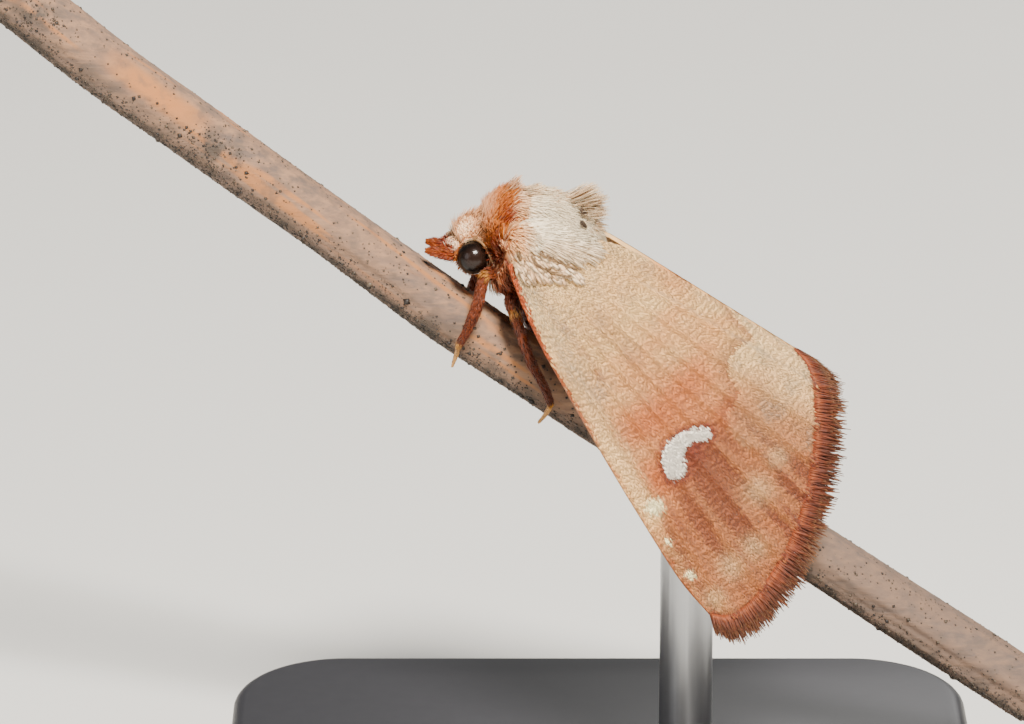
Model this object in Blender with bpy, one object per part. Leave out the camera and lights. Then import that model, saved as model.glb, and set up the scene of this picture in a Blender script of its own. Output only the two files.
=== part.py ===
"""Life-size model of a small roof-winged moth (Haemerosia renalis) on a cut length of stem.

The stem lies on a display stand: a flat base and one rod. The scene is in metres with +Z up, and its
origin is the centre of the base's underside. Everything on the stem is modelled in the moth's own frame:
x runs back along the stem's axis, y to the moth's right and z up from the stem's axis, square to it.
Meshes are shaped in millimetres and brought to metres at the end.
"""

import math
import random

import bmesh
import bpy
from mathutils import Matrix, Vector

MM = 0.001
GAP = 0.25               # between solids that grow from one another
FINE_GAP = 0.15          # the same on the head, where everything is small

# Stem and stand
STEM_SLOPE = math.radians(36.9)
STEM_LINE = [(-13.2, 0.16, 0.82), (-10.5, 0.02, 0.82), (-7.0, -0.01, 0.80), (-3.0, -0.04, 0.79),
             (0.8, -0.08, 0.84), (5.0, 0.02, 0.82), (9.0, 0.20, 0.81), (13.0, 0.36, 0.81),
             (16.5, 0.48, 0.84), (19.6, 0.62, 0.83)]     # place back, height of the middle, radius
STEM_RINGS = 36
STEM_RIBS = 7
RIB_DEPTH = 0.07
FRAME_X = -4.5           # the moth frame's origin, from the centre of the base
FRAME_Z = 15.2
BASE_LENGTH = 20.0
BASE_WIDTH = 15.0
BASE_HEIGHT = 2.0
BASE_CORNER = 3.0
ROD_RADIUS = 0.7
ROD_BACK = 8.4           # where the rod meets the stem, back along it

# Body
HEAD_CENTRE = Vector((0.02, 0.0, 1.88))
HEAD_SIZE = Vector((0.70, 0.66, 0.65))
HEAD_SIDE = 0.45         # half the width between the flats that carry the eyes
EYE_BACK = 0.15
EYE_UP = 1.69
EYE_RADIUS = 0.44
EYE_BULGE = 0.42
THORAX_CENTRE = Vector((1.90, 0.0, 2.98))
THORAX_RADIUS = 1.30
COLLAR_RADIUS = 0.27
ABDOMEN_FRONT = 3.45
ABDOMEN_REAR = 8.2
ABDOMEN_UP = 2.55
ABDOMEN_HALF_WIDTH = 0.72
ABDOMEN_HALF_HEIGHT = 0.90
ROOT_TILT = 0.10         # room for a leg's end that isn't square to the thorax

# Roof that the folded wings make: one side falls from the ridge, steeper and steeper down to its slope
RIDGE_OUT = 0.20
RIDGE_UP = 4.22
RIDGE_RISE = math.tan(math.radians(2.5))
RIDGE_SLOPE = 13.0
SLOPE_AT_FRONT = 68.0
SLOPE_AT_REAR = 58.0
TURN_WIDTH = 2.3         # distance down from the ridge over which the roof turns to its full slope
WING_THICKNESS = 0.5
RIM_THICKNESS = 0.3
FRINGE_LENGTH = 0.72

# Outlines of the folded wings, as distances back from the moth frame's origin and down the roof
COSTA = [(1.38, 3.02), (3.30, 4.25), (5.30, 5.47), (7.60, 6.66), (9.25, 7.30), (10.20, 7.50)]
TERMEN = [(10.20, 7.50), (10.75, 7.18), (11.05, 6.45), (11.10, 5.40), (10.95, 4.32), (10.40, 3.07),
          (9.90, 2.14), (9.30, 1.22), (8.80, 0.50), (8.40, 0.02)]
INNER_MARGIN = [(1.65, 2.40), (2.10, 1.15), (2.80, 0.30), (3.90, 0.02), (6.00, 0.02), (8.40, 0.02)]
HIND_LOWER = [(3.60, 2.85), (5.30, 3.20), (7.40, 4.60), (9.20, 5.30)]
HIND_OUTER = [(9.20, 5.30), (9.75, 4.50), (9.65, 3.30), (9.00, 2.40)]
HIND_UPPER = [(3.60, 2.20), (5.50, 2.35), (9.00, 2.40)]

# Outline of the space that the wing's root and its shoulder cover take out of the thorax
ROOM_LOWER = [(0.45, 2.95), (1.30, 3.20), (2.40, 3.90), (4.20, 4.90)]
ROOM_UPPER = [(0.50, 1.05), (1.60, 0.80), (2.45, 0.20), (2.80, -0.45), (4.20, -0.50)]

# Places where the scales of the forewing are raised by its main veins, counted across from the costa
VEINS = {0.10: 0.16, 0.22: 0.45, 0.33: 0.18, 0.43: 0.55, 0.53: 0.55, 0.63: 0.20, 0.74: 0.40, 0.87: 0.14}
HIND_VEINS = {0.20: 0.05, 0.40: 0.05, 0.60: 0.05, 0.80: 0.05}
VEIN_HEIGHT = 0.11
VEIN_HALF_WIDTH = 0.018
FRINGE_LOCKS = 13
FRINGE_NOTCH = 0.22

# Locks of hair scales: rows of tips, each with its place back, its height, its lean and, across, its count
CROWN_ROWS = [(-0.80, 2.02, math.radians(150.0)), (-0.70, 2.34, math.radians(122.0)),
              (-0.42, 2.58, math.radians(92.0))]
THORAX_ROWS = [(0.50, 4.02, math.radians(88.0), 5), (0.92, 4.30, math.radians(74.0), 5),
               (1.38, 4.58, math.radians(66.0), 5), (1.88, 4.98, math.radians(62.0), 5),
               (2.28, 4.66, math.radians(48.0), 4), (2.66, 4.34, math.radians(36.0), 3)]
LOCK_SPACING = 0.34
THORAX_LOCK_LENGTH = 1.30
LOCK_TAPER = 0.42        # how late a lock narrows towards its tip
COLLAR_LOCKS = 13
COLLAR_LOCK_LENGTH = 0.55
COLLAR_ROOM = 0.46
TEGULA_TOP = 0.80
TEGULA_LOCKS = 5
TAIL_LOCKS = 8


def clear_scene():
    for obj in list(bpy.data.objects):
        bpy.data.objects.remove(obj, do_unlink=True)


def new_collection(name):
    collection = bpy.data.collections.new(name)
    bpy.context.scene.collection.children.link(collection)
    return collection


def new_object(name, bm):
    """A mesh object from a bmesh, with its faces turned outwards."""
    bmesh.ops.recalc_face_normals(bm, faces=bm.faces)
    if bm.calc_volume(signed=True) < 0.0:
        bmesh.ops.reverse_faces(bm, faces=bm.faces)
    mesh = bpy.data.meshes.new(name)
    bm.to_mesh(mesh)
    bm.free()
    obj = bpy.data.objects.new(name, mesh)
    bpy.context.scene.collection.objects.link(obj)
    return obj


def side_point(side, back, out, up):
    """A point of the moth frame. side is 1 on the moth's left and -1 on its right."""
    return Vector((back, -side * out, up))


# Curves and surfaces

def spline(points, t):
    """A smooth curve through the points at t from 0 to 1, by Catmull-Rom."""
    last = len(points) - 1
    place = min(max(t, 0.0), 1.0) * last
    i = min(int(place), last - 1)
    f = place - i
    before = Vector(points[max(i - 1, 0)])
    start = Vector(points[i])
    end = Vector(points[i + 1])
    after = Vector(points[min(i + 2, last)])
    if i == 0:
        before = start * 2.0 - end
    if i == last - 1:
        after = end * 2.0 - start
    return 0.5 * (2.0 * start + (end - before) * f
                  + (2.0 * before - 5.0 * start + 4.0 * end - after) * f * f
                  + (3.0 * start - before - 3.0 * end + after) * f * f * f)


def roof_slope(back, down):
    """The roof's slope in radians, down the side from the ridge."""
    s = min(max((back - 1.0) / 3.0, 0.0), 1.0)
    full = SLOPE_AT_FRONT + (SLOPE_AT_REAR - SLOPE_AT_FRONT) * s * s * (3.0 - 2.0 * s)
    turned = math.sin(0.5 * math.pi * min(max(down / TURN_WIDTH, 0.0), 1.0))
    return math.radians(RIDGE_SLOPE + (full - RIDGE_SLOPE) * turned)


def roof_point(side, back, down, lift):
    """A point on the roof, back along it and down from the ridge, lifted square to its surface."""
    steps = 24
    step = down / steps
    out = RIDGE_OUT
    up = RIDGE_UP + RIDGE_RISE * back
    for i in range(steps):
        slope = roof_slope(back, (i + 0.5) * step)
        out += math.cos(slope) * step
        up -= math.sin(slope) * step
    slope = roof_slope(back, down)
    return side_point(side, back, out + lift * math.sin(slope), up + lift * math.cos(slope))


def patch(first, last, front, rear, u, v):
    """A point of the outline's filled patch: u runs from the first edge to the last, v from front to rear."""
    along = spline(first, v) * (1.0 - u) + spline(last, v) * u
    across = spline(front, u) * (1.0 - v) + spline(rear, u) * v
    corners = (Vector(first[0]) * (1.0 - u) * (1.0 - v) + Vector(last[0]) * u * (1.0 - v)
               + Vector(first[-1]) * (1.0 - u) * v + Vector(last[-1]) * u * v)
    return along + across - corners


def sheet(name, side, columns, rows, plan, top, bottom):
    """A closed curved plate on the roof. plan gives its outline, top and bottom the lift of its faces."""
    bm = bmesh.new()
    faces = []
    for lift in (top, bottom):
        grid = []
        for v in rows:
            line = []
            for u in columns:
                back, down = plan(u, v)
                line.append(bm.verts.new(roof_point(side, back, down, lift(u, v))))
            grid.append(line)
        faces.append(grid)
    upper, lower = faces
    last_row = len(rows) - 1
    last_column = len(columns) - 1
    for i in range(last_row):
        for j in range(last_column):
            for grid in faces:
                bm.faces.new((grid[i][j], grid[i + 1][j], grid[i + 1][j + 1]))
                bm.faces.new((grid[i][j], grid[i + 1][j + 1], grid[i][j + 1]))
    for i in range(last_row):
        for j in (0, last_column):
            bm.faces.new((upper[i][j], upper[i + 1][j], lower[i + 1][j], lower[i][j]))
    for j in range(last_column):
        for i in (0, last_row):
            bm.faces.new((upper[i][j], upper[i][j + 1], lower[i][j + 1], lower[i][j]))
    bmesh.ops.triangulate(bm, faces=[face for face in bm.faces if len(face.verts) > 3])
    return new_object(name, bm)


def spread(start, end, count):
    return [start + (end - start) * i / count for i in range(count + 1)]


# Solids

def ellipsoid(name, centre, half_sizes, pitch=0.0, segments=24, rings=14):
    bm = bmesh.new()
    bmesh.ops.create_uvsphere(bm, u_segments=segments, v_segments=rings, radius=1.0)
    place = Matrix.Translation(centre) @ Matrix.Rotation(pitch, 4, "Y")
    bm.transform(place @ Matrix.Diagonal((*half_sizes, 1.0)))
    return new_object(name, bm)


def slice_off(obj, point, outward):
    """Cuts the object at a plane and closes it with a flat face."""
    bm = bmesh.new()
    bm.from_mesh(obj.data)
    everything = bm.verts[:] + bm.edges[:] + bm.faces[:]
    cut = bmesh.ops.bisect_plane(bm, geom=everything, plane_co=point, plane_no=outward,
                                 dist=1e-5, clear_outer=True)
    rim = [item for item in cut["geom_cut"] if isinstance(item, bmesh.types.BMEdge)]
    bmesh.ops.edgenet_fill(bm, edges=rim)
    bm.to_mesh(obj.data)
    bm.free()


def tube(name, points, radii, steps=3, resolution=2):
    """A tapering tube with closed ends, through the points."""
    curve = bpy.data.curves.new(name, "CURVE")
    curve.dimensions = "3D"
    curve.bevel_depth = 1.0
    curve.bevel_resolution = resolution
    curve.use_fill_caps = True
    count = (len(points) - 1) * steps + 1
    line = curve.splines.new("POLY")
    line.points.add(count - 1)
    widths = [Vector((radius, 0.0, 0.0)) for radius in radii]
    for i, point in enumerate(line.points):
        t = i / (count - 1)
        point.co = (*spline(points, t), 1.0)
        point.radius = spline(widths, t).x
    obj = bpy.data.objects.new(name, curve)
    bpy.context.scene.collection.objects.link(obj)
    graph = bpy.context.evaluated_depsgraph_get()
    mesh = bpy.data.meshes.new_from_object(obj.evaluated_get(graph))
    bm = bmesh.new()
    bm.from_mesh(mesh)
    bmesh.ops.remove_doubles(bm, verts=bm.verts, dist=1e-4)
    bpy.data.objects.remove(obj)
    return new_object(name, bm)


def lock(name, path, across, width, thickness):
    """A flat tapering lock of hair scales along the path, a row of diamonds that ends in a point."""
    bm = bmesh.new()
    loops = []
    for i, centre in enumerate(path[:-1]):
        forward = (path[i + 1] - path[max(i - 1, 0)]).normalized()
        sideways = (across - forward * across.dot(forward)).normalized()
        upwards = forward.cross(sideways)
        left = 1.0 - i / (len(path) - 1)
        half_width = 0.5 * width * left ** LOCK_TAPER
        half_thickness = 0.5 * thickness * left ** LOCK_TAPER
        corners = (sideways * half_width, upwards * half_thickness,
                   -sideways * half_width, -upwards * half_thickness)
        loops.append([bm.verts.new(centre + corner) for corner in corners])
    tip = bm.verts.new(path[-1])
    for first, second in zip(loops, loops[1:]):
        for j in range(4):
            k = (j + 1) % 4
            bm.faces.new((first[j], first[k], second[k], second[j]))
    for j in range(4):
        bm.faces.new((loops[-1][j], loops[-1][(j + 1) % 4], tip))
    bm.faces.new(loops[0])
    return new_object(name, bm)


def bent_path(root, tip, bend, count=4):
    """Points from root to tip, bowed sideways by bend at the middle."""
    path = []
    for i in range(count + 1):
        t = i / count
        path.append(root.lerp(tip, t) + bend * 4.0 * t * (1.0 - t))
    return path


def combine(target, others, operation):
    """Joins or cuts the target with other closed objects in one Boolean, and keeps its largest piece."""
    group = new_collection("operands")
    for other in others:
        bpy.context.scene.collection.objects.unlink(other)
        group.objects.link(other)
    modifier = target.modifiers.new(operation.lower(), "BOOLEAN")
    modifier.operation = operation
    modifier.operand_type = "COLLECTION"
    modifier.collection = group
    modifier.solver = "EXACT"
    graph = bpy.context.evaluated_depsgraph_get()
    mesh = bpy.data.meshes.new_from_object(target.evaluated_get(graph))
    target.modifiers.clear()
    target.data = mesh
    for other in others:
        bpy.data.objects.remove(other, do_unlink=True)
    bpy.data.collections.remove(group)
    keep_largest(target)


def islands(bm):
    """The sets of joined faces in a mesh."""
    left = set(bm.faces)
    found = []
    while left:
        island = {left.pop()}
        edge_of_search = list(island)
        while edge_of_search:
            face = edge_of_search.pop()
            for edge in face.edges:
                for neighbour in edge.link_faces:
                    if neighbour in left:
                        left.remove(neighbour)
                        island.add(neighbour)
                        edge_of_search.append(neighbour)
        found.append(island)
    return found


def keep_largest(obj):
    bm = bmesh.new()
    bm.from_mesh(obj.data)
    bmesh.ops.triangulate(bm, faces=bm.faces)
    found = sorted(islands(bm), key=lambda island: sum(face.calc_area() for face in island))
    for island in found[:-1]:
        bmesh.ops.delete(bm, geom=list(island), context="FACES")
    bm.to_mesh(obj.data)
    bm.free()


# Head and its parts

def make_head():
    head = ellipsoid("head", HEAD_CENTRE, HEAD_SIZE)
    for side in (1, -1):
        slice_off(head, side_point(side, 0.0, HEAD_SIDE, 0.0), side_point(side, 0.0, 1.0, 0.0))
    combine(head, crown_locks(), "UNION")
    return head


def crown_locks():
    """The rough tufts between the feelers and down the face."""
    draw = random.Random(3)
    locks = []
    for back, up, lean in CROWN_ROWS:
        for out in (-0.26, 0.0, 0.26):
            tip = Vector((back + 0.05 * draw.uniform(-1.0, 1.0), out * 1.15, up - 0.9 * out * out))
            root = tip - Vector((math.cos(lean), 0.0, math.sin(lean))) * 0.62
            root.y *= 0.7
            bend = Vector((0.0, 0.0, 0.05))
            locks.append(lock("crown", bent_path(root, tip, bend, 3), Vector((0.0, 1.0, 0.0)), 0.40, 0.24))
    return locks


def make_eye(name, side):
    flat = HEAD_SIDE + FINE_GAP
    eye = ellipsoid(name, side_point(side, EYE_BACK, flat, EYE_UP), (EYE_RADIUS, EYE_BULGE, EYE_RADIUS))
    slice_off(eye, side_point(side, 0.0, flat, 0.0), side_point(side, 0.0, -1.0, 0.0))
    return eye


def make_palp(name, side):
    points = [side_point(side, -0.62, 0.34, 1.22), side_point(side, -0.80, 0.35, 1.27),
              side_point(side, -0.96, 0.35, 1.36), side_point(side, -1.10, 0.33, 1.50)]
    return tube(name, points, [0.19, 0.25, 0.24, 0.12], resolution=3)


def make_antenna(name, side):
    points = [side_point(side, -0.25, 0.42, 2.72), side_point(side, 0.08, 1.02, 2.42),
              side_point(side, 0.46, 1.34, 2.00), side_point(side, 1.10, 1.24, 1.78),
              side_point(side, 1.80, 1.10, 1.76), side_point(side, 2.90, 1.38, 1.68),
              side_point(side, 4.10, 1.70, 1.38), side_point(side, 5.40, 1.98, 1.08)]
    radii = [0.18, 0.22, 0.20, 0.18, 0.17, 0.16, 0.13, 0.08]
    return tube(name, points, radii, steps=3)


def collar_points():
    half = [(0.85, 1.16, 2.68), (0.45, 1.04, 2.98), (0.02, 0.60, 3.22)]
    left = [side_point(1, *point) for point in half]
    right = [side_point(-1, *point) for point in reversed(half)]
    return [*left, Vector((-0.10, 0.0, 3.28)), *right]


def collar_tube(name, growth):
    widths = [0.18, 0.25, COLLAR_RADIUS, COLLAR_RADIUS, COLLAR_RADIUS, 0.25, 0.18]
    return tube(name, collar_points(), [width + growth for width in widths], steps=3)


def make_collar():
    """A raised band of hair between head and thorax, its locks standing up along it."""
    collar = collar_tube("collar", 0.0)
    draw = random.Random(5)
    locks = []
    for i in range(COLLAR_LOCKS):
        t = (i + 0.5) / COLLAR_LOCKS
        root = spline(collar_points(), t)
        along = (spline(collar_points(), min(t + 0.05, 1.0)) - spline(collar_points(), max(t - 0.05, 0.0)))
        outward = Vector((0.0, root.y, root.z - HEAD_CENTRE.z)).normalized()
        length = COLLAR_LOCK_LENGTH * (0.75 + 0.25 * outward.z) * draw.uniform(0.9, 1.1)
        lean = Vector((-0.10, 0.0, 0.0)) if i % 2 else Vector((0.16, 0.0, 0.0))
        tip = root + outward * length + lean
        locks.append(lock("tuft", bent_path(root, tip, lean * -0.2, 3), along, 0.46, 0.28))
    combine(collar, locks, "UNION")
    return collar


# Body

def make_thorax():
    thorax = ellipsoid("thorax", THORAX_CENTRE, (THORAX_RADIUS,) * 3, 0.0, 20, 12)
    crest = ellipsoid("crest", Vector((1.05, 0.0, 3.75)), (1.05, 0.62, 0.60), math.radians(-32.0), 16, 8)
    combine(thorax, [crest, *thorax_locks()], "UNION")
    rooms = (collar_tube("collar_room", COLLAR_ROOM), wing_room("wing_room", 1), wing_room("wing_room", -1))
    for room in rooms:
        combine(thorax, [room], "DIFFERENCE")
    return thorax


def thorax_locks():
    """Rows of locks across the back, low in front and rising to the crest behind."""
    draw = random.Random(11)
    locks = []
    for back, up, lean, count in THORAX_ROWS:
        for i in range(count):
            out = LOCK_SPACING * (i - 0.5 * (count - 1))
            rise = up - 0.50 * out * out + 0.08 * draw.uniform(-1.0, 1.0)
            tip = Vector((back + 0.08 * draw.uniform(-1.0, 1.0), out * 1.1, rise))
            direction = Vector((math.cos(lean), 0.45 * out, math.sin(lean))).normalized()
            root = tip - direction * THORAX_LOCK_LENGTH
            bow = Vector((-0.10, 0.0, 0.10))
            locks.append(lock("hair", bent_path(root, tip, bow), Vector((0.0, 1.0, 0.0)), 0.50, 0.32))
    return locks


def wing_room(name, side):
    """The space that a forewing's root and the shoulder cover over it take, with the gap round them."""
    front = [ROOM_LOWER[0], ROOM_UPPER[0]]
    rear = [ROOM_LOWER[-1], ROOM_UPPER[-1]]
    return sheet(name, side, spread(0.0, 1.0, 12), spread(0.0, 1.0, 12),
                 lambda u, v: patch(ROOM_LOWER, ROOM_UPPER, front, rear, u, v),
                 lambda u, v: TEGULA_TOP + GAP, lambda u, v: -WING_THICKNESS - GAP)


def make_tegula(name, side):
    """The shoulder cover: a plate laid over the wing's root, with locks that run back off its rear edge."""
    front = [(0.75, 2.55), (0.62, 1.95), (0.85, 1.30)]
    rear = [(2.45, 2.30), (2.60, 1.70), (2.45, 1.00)]
    lower = [(0.75, 2.55), (1.60, 2.70), (2.45, 2.30)]
    upper = [(0.85, 1.30), (1.70, 1.02), (2.45, 1.00)]

    def top(u, v):
        rim = min(u, 1.0 - u, v, 1.0 - v)
        return GAP + 0.22 + (TEGULA_TOP - GAP - 0.22) * math.sin(0.5 * math.pi * min(rim / 0.3, 1.0))

    plate = sheet(name, side, spread(0.0, 1.0, 8), spread(0.0, 1.0, 8),
                  lambda u, v: patch(lower, upper, front, rear, u, v), top, lambda u, v: GAP)
    locks = []
    for i in range(TEGULA_LOCKS):
        t = i / (TEGULA_LOCKS - 1)
        down = 2.42 - 1.15 * t
        path = []
        for step in range(5):
            run = step / 4.0
            back = 1.75 + (1.15 + 0.30 * math.sin(math.pi * t)) * run
            path.append(roof_point(side, back, down - 0.10 * run, GAP + 0.34 - 0.12 * run))
        across = roof_point(side, 2.0, down + 0.2, GAP) - roof_point(side, 2.0, down, GAP)
        locks.append(lock("hair", path, across, 0.46, 0.40))
    combine(plate, locks, "UNION")
    return plate


def make_abdomen():
    rings = 22
    sides = 18
    bm = bmesh.new()
    loops = []
    for i in range(rings + 1):
        t = i / rings
        size = math.sqrt(max(1.0 - (2.0 * t - 1.0) ** 4, 0.0)) * (1.0 - 0.30 * t)
        size = max(size, 0.28)
        size *= 1.0 + 0.025 * math.cos(2.0 * math.pi * 7.0 * t)
        back = ABDOMEN_FRONT + (ABDOMEN_REAR - ABDOMEN_FRONT) * t
        loop = []
        for j in range(sides):
            angle = 2.0 * math.pi * j / sides
            y = ABDOMEN_HALF_WIDTH * size * math.cos(angle)
            z = ABDOMEN_UP + ABDOMEN_HALF_HEIGHT * size * math.sin(angle)
            loop.append(bm.verts.new((back, y, z)))
        loops.append(loop)
    skin(bm, loops)
    abdomen = new_object("abdomen", bm)
    locks = []
    for i in range(TAIL_LOCKS):
        angle = 2.0 * math.pi * i / TAIL_LOCKS
        round_way = Vector((0.0, math.cos(angle), math.sin(angle)))
        centre = Vector((0.0, 0.0, ABDOMEN_UP))
        root = centre + round_way * 0.16 + Vector((ABDOMEN_REAR - 0.75, 0.0, 0.0))
        tip = centre + round_way * 0.40 + Vector((ABDOMEN_REAR + 0.70, 0.0, 0.0))
        across = Vector((0.0, -math.sin(angle), math.cos(angle)))
        locks.append(lock("tail", bent_path(root, tip, round_way * 0.08), across, 0.44, 0.34))
    combine(abdomen, locks, "UNION")
    return abdomen


def skin(bm, loops):
    """Closes a row of equal loops into one solid."""
    sides = len(loops[0])
    for first, second in zip(loops, loops[1:]):
        for j in range(sides):
            k = (j + 1) % sides
            bm.faces.new((first[j], first[k], second[k], second[j]))
    for loop in (loops[0], loops[-1]):
        bm.faces.new(loop)


# Wings

def vein_columns(veins):
    """Positions across a wing, three at each vein and one between veins."""
    columns = [0.0, 1.0]
    edges = [0.0, *veins, 1.0]
    for vein in veins:
        columns += [vein - VEIN_HALF_WIDTH, vein, vein + VEIN_HALF_WIDTH]
    for first, second in zip(edges, edges[1:]):
        columns.append(0.5 * (first + second))
    return sorted(columns)


def forewing_plan(u, v):
    """Back and down of the forewing's blade, and of its fringe where v is over 1."""
    edge = patch(COSTA, INNER_MARGIN, [COSTA[0], INNER_MARGIN[0]], TERMEN, u, min(v, 1.0))
    if v <= 1.0:
        return edge
    inside = patch(COSTA, INNER_MARGIN, [COSTA[0], INNER_MARGIN[0]], TERMEN, u, 0.94)
    outward = (edge - inside).normalized()
    notch = 0.5 + 0.5 * math.cos(2.0 * math.pi * FRINGE_LOCKS * u)
    place = edge + outward * (v - 1.0) * FRINGE_LENGTH * (1.0 - FRINGE_NOTCH * notch)
    return Vector((place.x, max(place.y, 0.02)))


def vein_lift(veins, u, v):
    """How far a vein raises the face where its column stands, from the place where the vein begins."""
    for vein, start in veins.items():
        if abs(u - vein) < 1e-6 and v > start:
            return VEIN_HEIGHT * min((v - start) / 0.12, 1.0) * (1.0 - 0.35 * v)
    return 0.0


def make_forewing(name, side):
    rows = spread(0.0, 1.0, 11) + [1.5, 2.0]

    def top(u, v):
        if v > 1.0:
            return -0.05 * (v - 1.0)
        return vein_lift(VEINS, u, v)

    def bottom(u, v):
        if v > 1.0:
            return -RIM_THICKNESS + 0.05 * (v - 1.0)
        rim = min(u, 1.0 - u, 1.0 - v, v + 0.2)
        return -RIM_THICKNESS - (WING_THICKNESS - RIM_THICKNESS) * min(rim / 0.06, 1.0)

    return sheet(name, side, vein_columns(VEINS), rows, forewing_plan, top, bottom)


def make_hindwing(name, side):
    top_lift = -WING_THICKNESS - GAP
    front = [HIND_LOWER[0], HIND_UPPER[0]]
    return sheet(name, side, vein_columns(HIND_VEINS), spread(0.0, 1.0, 10),
                 lambda u, v: patch(HIND_LOWER, HIND_UPPER, front, HIND_OUTER, u, v),
                 lambda u, v: top_lift - VEIN_HEIGHT + vein_lift(HIND_VEINS, u, v),
                 lambda u, v: top_lift - WING_THICKNESS)


# Legs

def leg_root(side, back, out, down):
    """The place where a leg meets the thorax: a direction from its centre, just clear of its surface."""
    direction = side_point(side, back, out, -down).normalized()
    return THORAX_CENTRE + direction * (THORAX_RADIUS + GAP + ROOT_TILT)


def make_leg(name, side, root, points, radii):
    path = [leg_root(side, *root)] + [side_point(side, *point) for point in points]
    return tube(name, path, radii)


LEGS = {
    "foreleg": ((-0.50, 0.26, 0.82),
                [(0.98, 0.92, 1.34), (0.93, 1.24, 1.02), (1.05, 1.34, 0.50), (1.26, 1.28, -0.40),
                 (1.42, 0.98, -0.92)],
                [0.25, 0.27, 0.27, 0.24, 0.19, 0.12]),
    "midleg": ((0.05, 0.30, 0.95),
               [(1.90, 1.00, 1.14), (2.30, 1.34, 0.86), (3.20, 1.38, 0.44), (3.95, 1.32, -0.10),
                (4.20, 1.04, -0.78)],
               [0.25, 0.27, 0.26, 0.22, 0.19, 0.12]),
    "hindleg": ((0.66, 0.30, 0.70),
                [(3.30, 0.92, 1.26), (4.10, 1.22, 0.98), (5.10, 1.38, 0.54), (6.40, 1.36, -0.02),
                 (7.30, 1.08, -0.60)],
                [0.25, 0.26, 0.26, 0.23, 0.18, 0.12]),
}


# Stem and stand

def make_stem():
    """The stem, a little bent and waisted, with the lengthwise ribs of its bark."""
    sides = STEM_RIBS * 4
    bm = bmesh.new()
    loops = []
    for i in range(STEM_RINGS + 1):
        back, up, radius = spline(STEM_LINE, i / STEM_RINGS)
        loop = []
        for j in range(sides):
            angle = 2.0 * math.pi * j / sides
            rib = 0.5 + 0.5 * math.cos(STEM_RIBS * angle)
            reach = radius * (1.0 - RIB_DEPTH * rib)
            loop.append(bm.verts.new((back, reach * math.cos(angle), up + reach * math.sin(angle))))
        loops.append(loop)
    skin(bm, loops)
    return new_object("perch_stem", bm)


def make_base():
    bm = bmesh.new()
    bmesh.ops.create_cube(bm, size=1.0)
    bm.transform(Matrix.Translation((0.0, 0.0, 0.5 * BASE_HEIGHT))
                 @ Matrix.Diagonal((BASE_LENGTH, BASE_WIDTH, BASE_HEIGHT, 1.0)))
    upright = [edge for edge in bm.edges if abs(edge.verts[0].co.z - edge.verts[1].co.z) > 0.1]
    bmesh.ops.bevel(bm, geom=upright, offset=BASE_CORNER, segments=6, profile=0.5, affect="EDGES")
    rim = [edge for edge in bm.edges if min(vert.co.z for vert in edge.verts) > BASE_HEIGHT - 0.01]
    bmesh.ops.bevel(bm, geom=rim, offset=0.35, segments=3, profile=0.5, affect="EDGES")
    return new_object("stand_base", bm)


def make_rod():
    """The rod, cut at its top to the round of the stem that it carries."""
    moth_place = Matrix.Translation((FRAME_X, 0.0, FRAME_Z)) @ Matrix.Rotation(STEM_SLOPE, 4, "Y")
    x, y, stem_up = moth_place @ Vector((ROD_BACK, 0.0, 0.0))
    foot = BASE_HEIGHT + GAP
    bm = bmesh.new()
    bmesh.ops.create_cone(bm, cap_ends=True, segments=20, radius1=ROD_RADIUS, radius2=ROD_RADIUS,
                          depth=stem_up - foot)
    bm.transform(Matrix.Translation((x, y, 0.5 * (stem_up + foot))))
    rod = new_object("stand_rod", bm)
    middle = [(back, 0.0, up) for back, up, radius in STEM_LINE]
    room = tube("stem_room", middle, [radius + GAP for back, up, radius in STEM_LINE], resolution=8)
    room.data.transform(moth_place)
    combine(rod, [room], "DIFFERENCE")
    return rod


# Finishes

COLOURS = {
    "head": (0.78, 0.68, 0.52), "eye": (0.03, 0.02, 0.018), "palp": (0.36, 0.10, 0.05),
    "antenna": (0.42, 0.26, 0.15), "collar": (0.55, 0.22, 0.10), "thorax": (0.80, 0.72, 0.60),
    "tegula": (0.78, 0.66, 0.52), "abdomen": (0.55, 0.40, 0.26), "forewing": (0.62, 0.35, 0.20),
    "hindwing": (0.42, 0.30, 0.22), "foreleg": (0.45, 0.18, 0.09), "midleg": (0.50, 0.22, 0.11),
    "hindleg": (0.50, 0.24, 0.12), "perch": (0.42, 0.32, 0.27), "stand": (0.10, 0.10, 0.11),
}


def give_material(obj):
    kind = obj.name.split("_")[0]
    material = bpy.data.materials.new(obj.name)
    material.use_nodes = True
    shader = material.node_tree.nodes["Principled BSDF"]
    shader.inputs["Base Color"].default_value = (*COLOURS[kind], 1.0)
    shader.inputs["Roughness"].default_value = 0.2 if kind == "eye" else 0.65
    shader.inputs["Metallic"].default_value = 0.0
    obj.data.materials.clear()
    obj.data.materials.append(material)
    obj.data.shade_smooth()
    obj.data.set_sharp_from_angle(angle=math.radians(40.0))


def settle(obj, collection, carrier):
    """Brings a finished object to metres, into its collection and onto its carrier."""
    obj.data.transform(Matrix.Scale(MM, 4))
    bpy.context.scene.collection.objects.unlink(obj)
    collection.objects.link(obj)
    obj.parent = carrier
    give_material(obj)


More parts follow.
